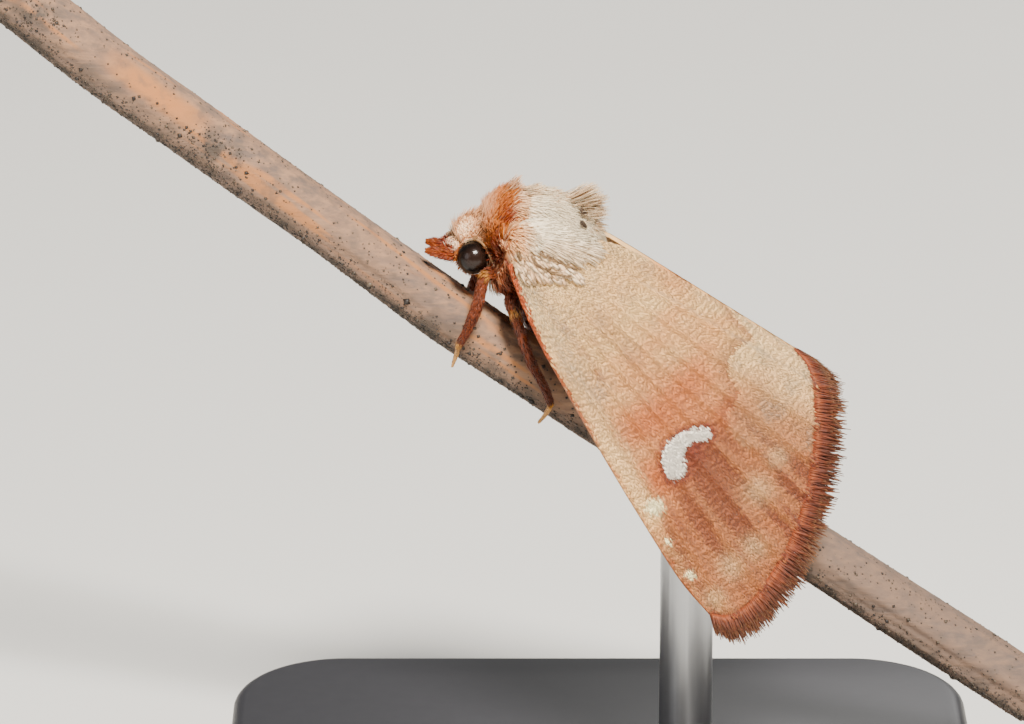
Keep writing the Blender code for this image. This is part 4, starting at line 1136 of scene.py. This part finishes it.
def makeLimbCoat(name, word, side, settings, draw):
    points, radii = limbs[name]
    count, palp = settings["count"], name == "palp"
    t = draw.uniform(0.06 if palp else 0.14, 0.985, count)
    around = draw.uniform(0.0, 2.0 * math.pi, count)
    place, along, normal = limbFrame(sidePoints(points, side), radii, t, around)
    foot = np.zeros(count) if palp else smooth(t, 0.66, 0.74)
    thin = 1.05 - 0.40 * t if palp else 1.0 - 0.55 * foot
    length = settings["length"] * draw.uniform(0.6, 1.2, count) * thin
    width = settings["width"] * draw.uniform(0.7, 1.2, count) * (1.0 - 0.25 * foot)
    angle = np.radians(settings["angle"]) * draw.uniform(0.5, 1.6, count) * (1.0 - 0.6 * foot)
    wander = unit(along + draw.normal(0.0, 0.10, along.shape))
    along = unit(wander - normal * np.sum(wander * normal, axis=1, keepdims=True))
    uv = np.stack([0.03 + 0.94 * t, 0.03 + 0.94 * around / (2.0 * math.pi)], axis=1)
    obj = hairCoat(f"{name}_coat_{word}", place - normal * 0.02, along, normal, length, width, 0.18, angle,
                   np.full(count, 0.12), uv, 3)
    masks = noMasks(count)
    if palp:
        tips = smooth(t, 0.80, 0.97)
        masks["brick"] = np.clip(1.0 - 0.35 * draw.random(count) - 0.5 * tips * draw.random(count), 0.0, 1.0)
        masks["orange"] = np.ones(count)
        masks["dark"] = 0.15 * draw.random(count) ** 2
    else:
        ring = np.exp(-((t - 0.70) / 0.022) ** 2) + 0.7 * np.exp(-((t - 0.27) / 0.018) ** 2)
        masks["legBrown"] = 1.0 - 0.8 * foot
        masks["brick"] = 0.35 * (draw.random(count) < 0.4) * (1.0 - foot)
        masks["straw"] = np.clip(foot * 0.85 + ring, 0.0, 1.0)
        masks["dark"] = np.clip(0.5 * (draw.random(count) < 0.12) + settings["inShade"] * (1.0 - foot),
                                0.0, 1.0)
    markPiece(obj, masks, draw)
    return obj


eyeRim = {"count": 760, "length": 0.17, "width": 0.030}


def makeEyeRim(name, side, draw):                       # short hair all round the eye, over its margin
    count = eyeRim["count"]
    around = draw.uniform(0.0, 2.0 * math.pi, count)
    radial = np.stack([np.cos(around), 0.0 * around, np.sin(around)], axis=1)
    outward = np.array((0.0, -side, 0.0))
    centre = sidePoints([eye["place"]], side)[0] - 0.16 * outward
    root = centre + radial * draw.uniform(0.37, 0.42, count)[:, None]
    sweepBack = np.array((0.5, 0.0, 0.2)) * draw.uniform(0.5, 1.0, count)[:, None]
    along = unit(radial * 0.55 + outward * draw.uniform(0.5, 0.9, count)[:, None] + sweepBack * 0.5
                 + draw.normal(0.0, 0.12, (count, 3)))
    normal = unit(radial - along * np.sum(radial * along, axis=1, keepdims=True))
    uv = np.stack([0.5 + 0.4 * np.cos(around), 0.5 + 0.4 * np.sin(around)], axis=1)
    length = eyeRim["length"] * draw.uniform(0.7, 1.2, count)
    obj = hairCoat(name, root, along, normal, length, np.full(count, eyeRim["width"]), 0.2,
                   np.zeros(count), draw.uniform(-0.05, 0.10, count), uv, 3)
    masks = noMasks(count)
    upper = smooth(np.sin(around), -0.1, 0.5)
    masks["brown"] = 0.5 * upper * draw.random(count)
    masks["orange"] = 1.0 - 0.75 * upper * (np.cos(around) < 0.5)
    masks["brick"] = 0.7 * (1.0 - upper) * draw.random(count)
    markPiece(obj, masks, draw)
    return obj


print("limbs")
for word, side in (("left", 1), ("right", -1)):
    rim = makeEyeRim(f"eye_rim_{word}", side, np.random.default_rng(37))
    finish(rim, skinLook, "head_scales", "head")
for name, settings in limbCoats.items():
    for word, side in (("left", 1), ("right", -1)):
        coat = makeLimbCoat(name, word, side, settings, np.random.default_rng(31))
        finish(coat, skinLook, settings["slot"], f"{name}_{word}")


# Eyes

def eyeMaterial(side):
    # Compound eye: a smooth lacquer-like cornea of tiny lenses, black brown, with a soft paler brown
    # reflection painted on its outer face
    material, tree, shader = newMaterial("cornea, dark brown", {"Roughness": 0.20, "IOR": 1.36})
    place = addNode(tree, "TexCoord").outputs["Object"]
    # the middle of the painted reflection, on the eye's outer face a little above its middle
    centre = mothPlace @ Vector((eye["place"][0] - 0.03, -side * 1.05, eye["place"][2] + 0.12))
    offset = addNode(tree, "VectorMath", {1: centre}, {0: place}, operation="DISTANCE")
    paintedReflection = addNode(tree, "MapRange", {"From Min": 0.00045, "From Max": 0.00018},
                   {"Value": offset.outputs["Value"]}, interpolation_type="SMOOTHSTEP")
    cells = addNode(tree, "TexVoronoi", {"Scale": 1.0 / (eye["facet"] * mm)}, {"Vector": place})
    bump = addNode(tree, "Bump", {"Strength": 0.18, "Distance": 0.00001}, {"Height": cells})
    tree.links.new(layered(tree, "#070302", (paintedReflection, "#21140E")), shader.inputs["Base Color"])
    tree.links.new(bump.outputs[0], shader.inputs["Normal"])
    return material


def makeEye(name, side):
    clearSelection()
    bpy.ops.mesh.primitive_ico_sphere_add(subdivisions=6, radius=1.0)
    obj = bpy.context.object
    obj.name = name
    back, out, up = eye["place"]
    obj.data.transform(Matrix.Translation((back, -side * out, up)) @ Matrix.Diagonal((*eye["sizes"], 1.0)))
    bpy.ops.object.shade_smooth()
    return obj


print("eyes")
for word, side in (("left", 1), ("right", -1)):
    finish(makeEye(f"eyeball_{word}", side), eyeMaterial(side), "eye", f"eye_{word}")


# Feelers: a scape and many short joints, each a little wider at its end

def antennaMaterial():
    # Feeler: bare brown chitin with pale scales on every joint
    material, tree, shader = newMaterial("ringed chitin", {"Roughness": 0.45, "IOR": 1.55})
    ring = addNode(tree, "Attribute", attribute_name="ring").outputs["Fac"]
    tree.links.new(layered(tree, "#4E2C1A", (ring, "#B88C5E")), shader.inputs["Base Color"])
    return material


def makeAntenna(name, side):
    points, segments, sides = sidePoints(antenna["line"], side), antenna["segments"], antenna["sides"]
    rings, widths, tones = [], [], []
    for i in range(segments):
        start, end = i / segments, (i + 1) / segments
        wide = antenna["root"] + (antenna["tip"] - antenna["root"]) * start ** 0.8
        if i < antenna["scapeJoints"]:
            wide = antenna["scape"] * (1.0 - 0.10 * i)
        for part, swelling, tone in antenna["joint"]:
            rings.append(start + (end - start) * part)
            widths.append(wide * swelling)
            tones.append(tone)
    around = np.tile(np.arange(sides) * 2.0 * math.pi / sides, len(rings))
    place, _, normal = limbFrame(points, [0.0] * len(points), np.repeat(rings, sides), around)
    place = place + normal * np.repeat(widths, sides)[:, None]
    faces = []
    for i in range(len(rings) - 1):
        for j in range(sides):
            a, b = i * sides + j, i * sides + (j + 1) % sides
            faces += [(a, b + sides, b), (a, a + sides, b + sides)]
    last = (len(rings) - 1) * sides
    for j in range(1, sides - 1):
        faces += [(0, j, j + 1), (last, last + j + 1, last + j)]
    obj = meshOf(name, place[None], faces)
    mendMesh(obj)
    bpy.ops.object.shade_smooth_by_angle(angle=roundUnder)
    setAttribute(obj, "ring", tones)
    return obj


print("feelers")
feelerLook = antennaMaterial()
for word, side in (("left", 1), ("right", -1)):
    finish(makeAntenna(f"feeler_{word}", side), feelerLook, "antenna", f"antenna_{word}")


# Hindwings, folded under the forewings

hindwing = {
    "costa": [(3.60, 2.85), (5.30, 3.20), (7.40, 4.60), (9.20, 5.30)],
    "termen": [(9.20, 5.30), (9.75, 4.50), (9.65, 3.30), (9.00, 2.40)],
    "inner": [(3.60, 2.20), (5.50, 2.35), (9.00, 2.40)],
    "fan": (0.5, 2.2), "veins": (), "veinHeight": 0.0, "lift": -0.95, "thickness": 0.12,
    "rowGap": 0.11, "scaleGap": 0.09, "scaleLength": 0.26, "scaleWidth": 0.13, "raised": 0.02,
    "ridge": 0.004, "grid": 72,
}


def hindwingMaterial():
    # Hindwing scales: plain grey brown, softly clouded
    material, tree, shader = newMaterial("hindwing scales, grey brown", {"Roughness": 0.55, "IOR": 1.55})
    place = addNode(tree, "TexCoord").outputs["Object"]
    cloud = addNode(tree, "TexNoise", {"Scale": 700.0, "Detail": 3.0}, {"Vector": place})
    tree.links.new(layered(tree, "#A88A72", (cloud, "#8C7462")), shader.inputs["Base Color"])
    return material


print("hindwings")
hindwingLook = hindwingMaterial()
for word, side in bothSides:
    draw = np.random.default_rng(41)
    pieces = [makeMembrane(f"hindwing_skin_{word}", side, hindwing)]
    points = hexGrid(wingOutline(hindwing), hindwing["rowGap"], hindwing["scaleGap"], draw)
    heading = unit(points - np.array(hindwing["fan"]))
    count = len(points)
    for face, depth, turn in (("upper", 0.0, 1.0), ("under", hindwing["thickness"], -1.0)):
        here, along, normal = surfaceFrame(side, points, heading, hindwing["lift"] - depth)
        pieces.append(scaleCoat(f"hindwing_{face}_scales_{word}", here, along, turn * normal,
                                hindwing["scaleLength"] * draw.uniform(0.85, 1.15, count),
                                hindwing["scaleWidth"] * draw.uniform(0.85, 1.15, count),
                                hindwing["raised"] * draw.uniform(0.6, 1.5, count), hindwing["ridge"],
                                roofUv(points)))
    for piece in pieces:
        finish(piece, hindwingLook, "hindwing_scales", f"hindwing_{word}")


# Stem

stem = {
    "line": [(-14.0, 0.20, 0.82), (-10.5, 0.02, 0.82), (-7.0, -0.01, 0.80), (-3.0, -0.04, 0.79),
             (0.8, -0.08, 0.84), (5.0, 0.02, 0.82), (9.0, 0.20, 0.81), (13.0, 0.36, 0.81),
             (16.5, 0.48, 0.84), (19.6, 0.62, 0.83)],
    "ribs": 7, "ribDepth": 0.07, "rings": 640, "sides": 112,
    "specks": 12000, "speckSize": 0.027, "triesEach": 6,
    # dark patches of lichen: back along the stem, round it, and how far they spread
    "lichen": [(-7.0, 0.2, 0.9, 0.5), (-12.6, 0.2, 0.6, 0.5), (0.3, -0.9, 0.6, 0.5)],
}


def stemSurface(t, turn):                               # a place on the bark; turn 0 faces the moth's left
    line = curveAt(stem["line"], t)
    back, up, radius = line[..., 0], line[..., 1], line[..., 2]
    angle = 0.5 * math.pi - turn                        # from straight up, as the ribs are counted
    rib = 0.5 + 0.5 * np.cos(stem["ribs"] * angle)
    flat = np.stack([back * 0.55, np.cos(turn) * 4.0, np.sin(turn) * 4.0], axis=-1)
    long = waves(flat, 2.2, 51)
    fine = waves(flat * (0.5, 3.4, 3.4), 2.6, 52)
    grit = waves(np.stack([back * 6.0, np.cos(turn) * 7.0, np.sin(turn) * 7.0], axis=-1), 1.9, 53)
    reach = radius * (1.0 - stem["ribDepth"] * rib * (0.35 + 0.65 * smooth(back, 2.0, 9.0)))
    reach = reach - 0.030 * (1.0 - long) - 0.022 * (1.0 - fine) - 0.012 * (1.0 - grit)
    return np.stack([back, -reach * np.cos(turn), up + reach * np.sin(turn)], axis=-1)


def stemMasks(back, turn):
    place = np.stack([back * 0.8, np.cos(turn) * 2.0, np.sin(turn) * 2.0], axis=-1)
    cloud = waves(place, 1.5, 61)
    strips = waves(place * (0.35, 3.0, 3.0), 2.4, 62)
    worn = np.exp(-(((back + 8.9) / 1.5) ** 4) - ((turn - 0.55) / 0.42) ** 4)
    bare = np.maximum(worn, smooth(strips, 0.62, 0.80) * smooth(cloud, 0.35, 0.6) * 0.8)
    # painted shade on the lower side; the right end is darkened as well
    shady = np.maximum(fade(turn, -0.75, -0.05), 0.95 * smooth(back, 6.0, 9.5))
    return {"bare": np.clip(bare, 0.0, 1.0) * (1.0 - shady), "shady": shady,
            "low": np.exp(-((turn + 0.85) / 0.40) ** 2),
            "lichen": np.clip(sum(blob(back, turn, spot) for spot in stem["lichen"]), 0.0, 1.0),
            "cloud": cloud}


def stemMaterial():
    # Dead bark: dry grey skin with lengthwise fibres, worn to tan wood in places, matt everywhere
    material, tree, shader = newMaterial("weathered bark", {"Roughness": 0.82, "IOR": 1.5})
    place = addNode(tree, "TexCoord").outputs["Object"]
    turned = addNode(tree, "Mapping", {"Rotation": (0.0, -stemSlope, 0.0), "Scale": (300.0, 2600.0, 2600.0)},
                     {"Vector": place}, vector_type="POINT")
    fibre = addNode(tree, "TexNoise", {"Scale": 1.6, "Detail": 5.0, "Roughness": 0.65}, {"Vector": turned})
    mottle = addNode(tree, "TexNoise", {"Scale": 2200.0, "Detail": 4.0}, {"Vector": place})
    cloud, bare, shady, lichen, low = [addNode(tree, "Attribute", attribute_name=mark).outputs["Fac"]
                                       for mark in ("cloud", "bare", "shady", "lichen", "low")]
    tone = addNode(tree, "MapRange", {"From Min": 0.38, "From Max": 0.62}, {"Value": fibre})
    dirt = addNode(tree, "MapRange", {"From Min": 0.52, "From Max": 0.66}, {"Value": mottle})
    rough = addNode(tree, "MapRange", {"From Min": 0.40, "From Max": 0.60}, {"Value": mottle})
    soiled = addNode(tree, "Math", {1: 0.55}, {0: dirt}, operation="MULTIPLY")
    # painted shade: tints the lower side and the right end darker, as the shady mark gives
    shadeTint = addNode(tree, "Math", {1: 0.55}, {0: shady}, operation="MULTIPLY")
    patch = addNode(tree, "Math", {}, {0: lichen, 1: rough}, operation="MULTIPLY")
    crust = addNode(tree, "Math", {}, {0: low, 1: rough}, operation="MULTIPLY")
    colour = layered(tree, "#62524A", (cloud, "#80624C"), (tone, "#927056"), (bare, "#A86C3A"),
                     (soiled, "#5C4E44"), (shadeTint, "#5A4E48"), (patch, "#4A4038"), (crust, "#3E342A"))
    bump = addNode(tree, "Bump", {"Strength": 0.8, "Distance": 0.00005}, {"Height": fibre})
    tree.links.new(colour, shader.inputs["Base Color"])
    tree.links.new(bump.outputs[0], shader.inputs["Normal"])
    return material


def speckMaterial():
    # Speck: hard black fungus dots on the bark, a little glossy
    material, tree, shader = newMaterial("black fungus dots", {"Roughness": 0.5, "IOR": 1.5})
    shade = addNode(tree, "Attribute", attribute_name="shade").outputs["Fac"]
    tree.links.new(layered(tree, "#221B17", (shade, "#5A4C3C")), shader.inputs["Base Color"])
    return material


def makeStem():
    obj = addGrid("bark", stem["rings"], stem["sides"])
    flat = readPoints(obj).astype(float) + 0.5
    turn = np.where(flat[:, 1] > 0.9999, 0.0, flat[:, 1] * 2.0 * math.pi)
    place = stemSurface(flat[:, 0], turn)
    writePoints(obj, place)
    wrapped = np.where(turn > math.pi, turn - 2.0 * math.pi, turn)
    for mark, values in stemMasks(place[:, 0], wrapped).items():
        setAttribute(obj, mark, values)
    mendMesh(obj, doubles=0.0005, holes=True)
    bpy.ops.object.shade_smooth_by_angle(angle=roundUnder)
    return obj


def makeSpecks(draw):
    shape = np.array([(1, 0, 0), (-1, 0, 0), (0, 1, 0), (0, -1, 0), (0, 0, 1), (0, 0, -1)], dtype=float)
    faces = [(0, 2, 4), (2, 1, 4), (1, 3, 4), (3, 0, 4), (2, 0, 5), (1, 2, 5), (3, 1, 5), (0, 3, 5)]
    tries = stem["specks"] * stem["triesEach"]
    t = draw.uniform(0.002, 0.998, tries)
    turn = draw.uniform(-math.pi, math.pi, tries)
    place = stemSurface(t, turn)
    masks = stemMasks(place[:, 0], turn)
    chance = 0.05 + 1.3 * masks["low"] + 0.8 * masks["lichen"] + 0.22 * masks["cloud"] ** 2
    chance = chance * (1.0 - 0.8 * masks["bare"])
    keep = np.flatnonzero(draw.random(tries) < chance * 0.6)[:stem["specks"]]
    place, turn, count = place[keep], turn[keep], len(keep)
    normal = np.stack([0.0 * turn, -np.cos(turn), np.sin(turn)], axis=1)
    size = stem["speckSize"] * draw.lognormal(-0.25, 0.45, count)
    across = unit(np.cross(normal, np.array((1.0, 0.0, 0.0))))
    basis = np.stack([np.tile((1.0, 0.0, 0.0), (count, 1)), across, normal * 0.6], axis=1)
    points = place[:, None, :] + np.einsum("vi,nij->nvj", shape, basis) * size[:, None, None]
    obj = meshOf("bark_specks", points, faces)
    mendMesh(obj)
    setAttribute(obj, "shade", draw.uniform(0.0, 1.0, count) ** 2)
    return obj


print("stem")
finish(makeStem(), stemMaterial(), "stem_bark", "perch_stem")
finish(makeSpecks(np.random.default_rng(71)), speckMaterial(), "stem_bark", "perch_stem")


# Stand: a flat board and one rod, in the shapes of the solids

def baseMaterial():
    # Base: cut and sprayed board, satin black with a faint orange peel
    material, tree, shader = newMaterial("satin black lacquer", {"Roughness": 0.38, "IOR": 1.5})
    place = addNode(tree, "TexCoord").outputs["Object"]
    peel = addNode(tree, "TexNoise", {"Scale": 2500.0, "Detail": 2.0}, {"Vector": place})
    bump = addNode(tree, "Bump", {"Strength": 0.08, "Distance": 0.00002}, {"Height": peel})
    tree.links.new(layered(tree, "#26262A", (peel, "#2C2C30")), shader.inputs["Base Color"])
    tree.links.new(bump.outputs[0], shader.inputs["Normal"])
    return material


def rodMaterial():
    # Rod: drawn steel wire brushed along its length
    material, tree, shader = newMaterial("brushed steel", {"Metallic": 1.0})
    place = addNode(tree, "TexCoord").outputs["Object"]
    drawn = addNode(tree, "Mapping", {"Scale": (9000.0, 9000.0, 250.0)}, {"Vector": place},
                    vector_type="POINT")
    lines = addNode(tree, "TexNoise", {"Scale": 1.0, "Detail": 3.0}, {"Vector": drawn})
    rough = addNode(tree, "MapRange", {"To Min": 0.24, "To Max": 0.40}, {"Value": lines})
    tree.links.new(layered(tree, "#A9AAAC", (lines, "#BFC0C2")), shader.inputs["Base Color"])
    tree.links.new(rough.outputs[0], shader.inputs["Roughness"])
    return material


base = {"length": 20.0, "width": 15.0, "height": 2.0, "corner": 3.0, "cornerSteps": 24, "rim": 0.35,
        "rimSteps": 6}
rod = {"radius": 0.70, "back": 8.4, "foot": 2.0, "chamfer": 0.12, "sides": 96, "bite": 0.06}
sharpOver = math.radians(30.0)


def makeBase():                                         # a board with round corners and a softened upper edge
    clearSelection()
    bpy.ops.mesh.primitive_cube_add(size=1.0)
    obj = bpy.context.object
    obj.name = "black_board"
    obj.data.transform(Matrix.Translation((0.0, 0.0, 0.5 * base["height"]))
                       @ Matrix.Diagonal((base["length"], base["width"], base["height"], 1.0)))
    bpy.ops.object.mode_set(mode="EDIT")
    bpy.ops.mesh.select_mode(type="EDGE")
    bpy.ops.mesh.select_all(action="DESELECT")
    bpy.ops.object.mode_set(mode="OBJECT")
    for edge in obj.data.edges:                         # the four upright edges
        first, second = (obj.data.vertices[i].co for i in edge.vertices)
        edge.select = abs(first.z - second.z) > 0.1
    bpy.ops.object.mode_set(mode="EDIT")
    bpy.ops.mesh.bevel(offset=base["corner"], segments=base["cornerSteps"])
    bpy.ops.mesh.select_all(action="DESELECT")
    bpy.ops.object.mode_set(mode="OBJECT")
    for edge in obj.data.edges:                         # the upper rim
        edge.select = min(obj.data.vertices[i].co.z for i in edge.vertices) > base["height"] - 0.01
    bpy.ops.object.mode_set(mode="EDIT")
    bpy.ops.mesh.bevel(offset=base["rim"], segments=base["rimSteps"])
    bpy.ops.object.mode_set(mode="OBJECT")
    bpy.ops.object.shade_smooth_by_angle(angle=sharpOver)
    obj.data.transform(fromStand)
    return obj


def makeRod():                                          # stands on the base, its top cut to the stem
    x, y, top = mothTurn @ Vector((rod["back"], 0.0, 0.0))
    clearSelection()
    bpy.ops.mesh.primitive_cylinder_add(vertices=rod["sides"], radius=rod["radius"], depth=top - rod["foot"])
    obj = bpy.context.object
    obj.name = "steel_rod"
    obj.data.transform(Matrix.Translation((x, y, 0.5 * (top + rod["foot"]))))
    edges = obj.modifiers.new("edges", "BEVEL")
    edges.width = rod["chamfer"]
    edges.segments = 3
    applyModifiers(obj)
    room = sweep("stem_room", [(back, 0.0, up) for back, up, radius in stem["line"]],
                 [radius - rod["bite"] for back, up, radius in stem["line"]], 48, 60)
    room.data.transform(mothTurn)
    trim = obj.modifiers.new("trim", "BOOLEAN")
    trim.operation = "DIFFERENCE"
    trim.object = room
    applyModifiers(obj)
    bpy.data.objects.remove(room, do_unlink=True)
    makeActive(obj)
    bpy.ops.object.shade_smooth_by_angle(angle=sharpOver)
    obj.data.transform(fromStand)
    return obj


print("stand")
finish(makeBase(), baseMaterial(), "stand_base", "stand_base")
finish(makeRod(), rodMaterial(), "stand_rod", "stand_rod")


# Camera, light and floor

view = {"elevation": 20.0, "distance": 150.0, "pixelsPerMm": 38.7, "anchorPixel": (430.0, 296.0),
        "imageWidth": 1024.0, "imageHeight": 724.0, "sensor": 36.0, "clip": (0.005, 5.0)}
aim = (0.0, 0.0, 0.013)
lights = {                           # place, size in metres, watts and colour
    "key": ((0.035, -0.125, 0.19), 0.05, 1.50, (1.0, 0.945, 0.86)),
    "fill": ((-0.16, -0.14, 0.09), 0.14, 0.12, (0.98, 0.98, 1.0)),
    "back": ((0.05, 0.16, 0.13), 0.10, 0.16, (1.0, 0.98, 0.95)),
}
studio = {"Color": (0.90, 0.90, 0.90, 1.0), "Strength": 0.24}


def makeCamera():
    tilt = math.radians(view["elevation"])
    towards = Vector((0.0, math.cos(tilt), -math.sin(tilt)))
    right = Vector((1.0, 0.0, 0.0))
    up = right.cross(towards)
    shiftRight = (0.5 * view["imageWidth"] - view["anchorPixel"][0]) / view["pixelsPerMm"]
    shiftUp = (view["anchorPixel"][1] - 0.5 * view["imageHeight"]) / view["pixelsPerMm"]
    centre = stemAnchor + right * shiftRight + up * shiftUp
    data = bpy.data.cameras.new("camera")
    data.sensor_width = view["sensor"]
    data.lens = view["sensor"] * view["distance"] / (view["imageWidth"] / view["pixelsPerMm"])
    data.clip_start, data.clip_end = view["clip"]
    camera = bpy.data.objects.new("camera", data)
    bpy.context.scene.collection.objects.link(camera)
    turned = Matrix((right, up, -towards)).transposed().to_4x4()
    turned.translation = (centre - towards * view["distance"]) * mm
    camera.matrix_world = turned
    bpy.context.scene.camera = camera


def makeLight(name, place, size, power, colour):
    data = bpy.data.lights.new(name, "AREA")
    data.shape = "DISK"
    data.size = size
    data.energy = power
    data.color = colour
    light = bpy.data.objects.new(name, data)
    bpy.context.scene.collection.objects.link(light)
    light.location = place
    light.rotation_euler = (Vector(aim) - Vector(place)).to_track_quat("-Z", "Y").to_euler()


def makeFloor():
    clearSelection()
    bpy.ops.mesh.primitive_plane_add(size=4.0)
    floor = bpy.context.object
    floor.name = "floor"
    # Matt paper sweep: pale and even
    material, tree, shader = newMaterial("pale matt paper", {"Roughness": 0.9})
    place = addNode(tree, "TexCoord").outputs["Object"]
    fibre = addNode(tree, "TexNoise", {"Scale": 60.0, "Detail": 3.0}, {"Vector": place})
    tree.links.new(layered(tree, "#D9D8D4", (fibre, "#DEDDD9")), shader.inputs["Base Color"])
    floor.data.materials.append(material)


print("camera, light and floor")
makeCamera()
makeFloor()
for name, settings in lights.items():
    makeLight(name, *settings)
world = bpy.data.worlds.new("studio")
world.use_nodes = True
for socket, value in studio.items():
    world.node_tree.nodes["Background"].inputs[socket].default_value = value
bpy.context.scene.world = world
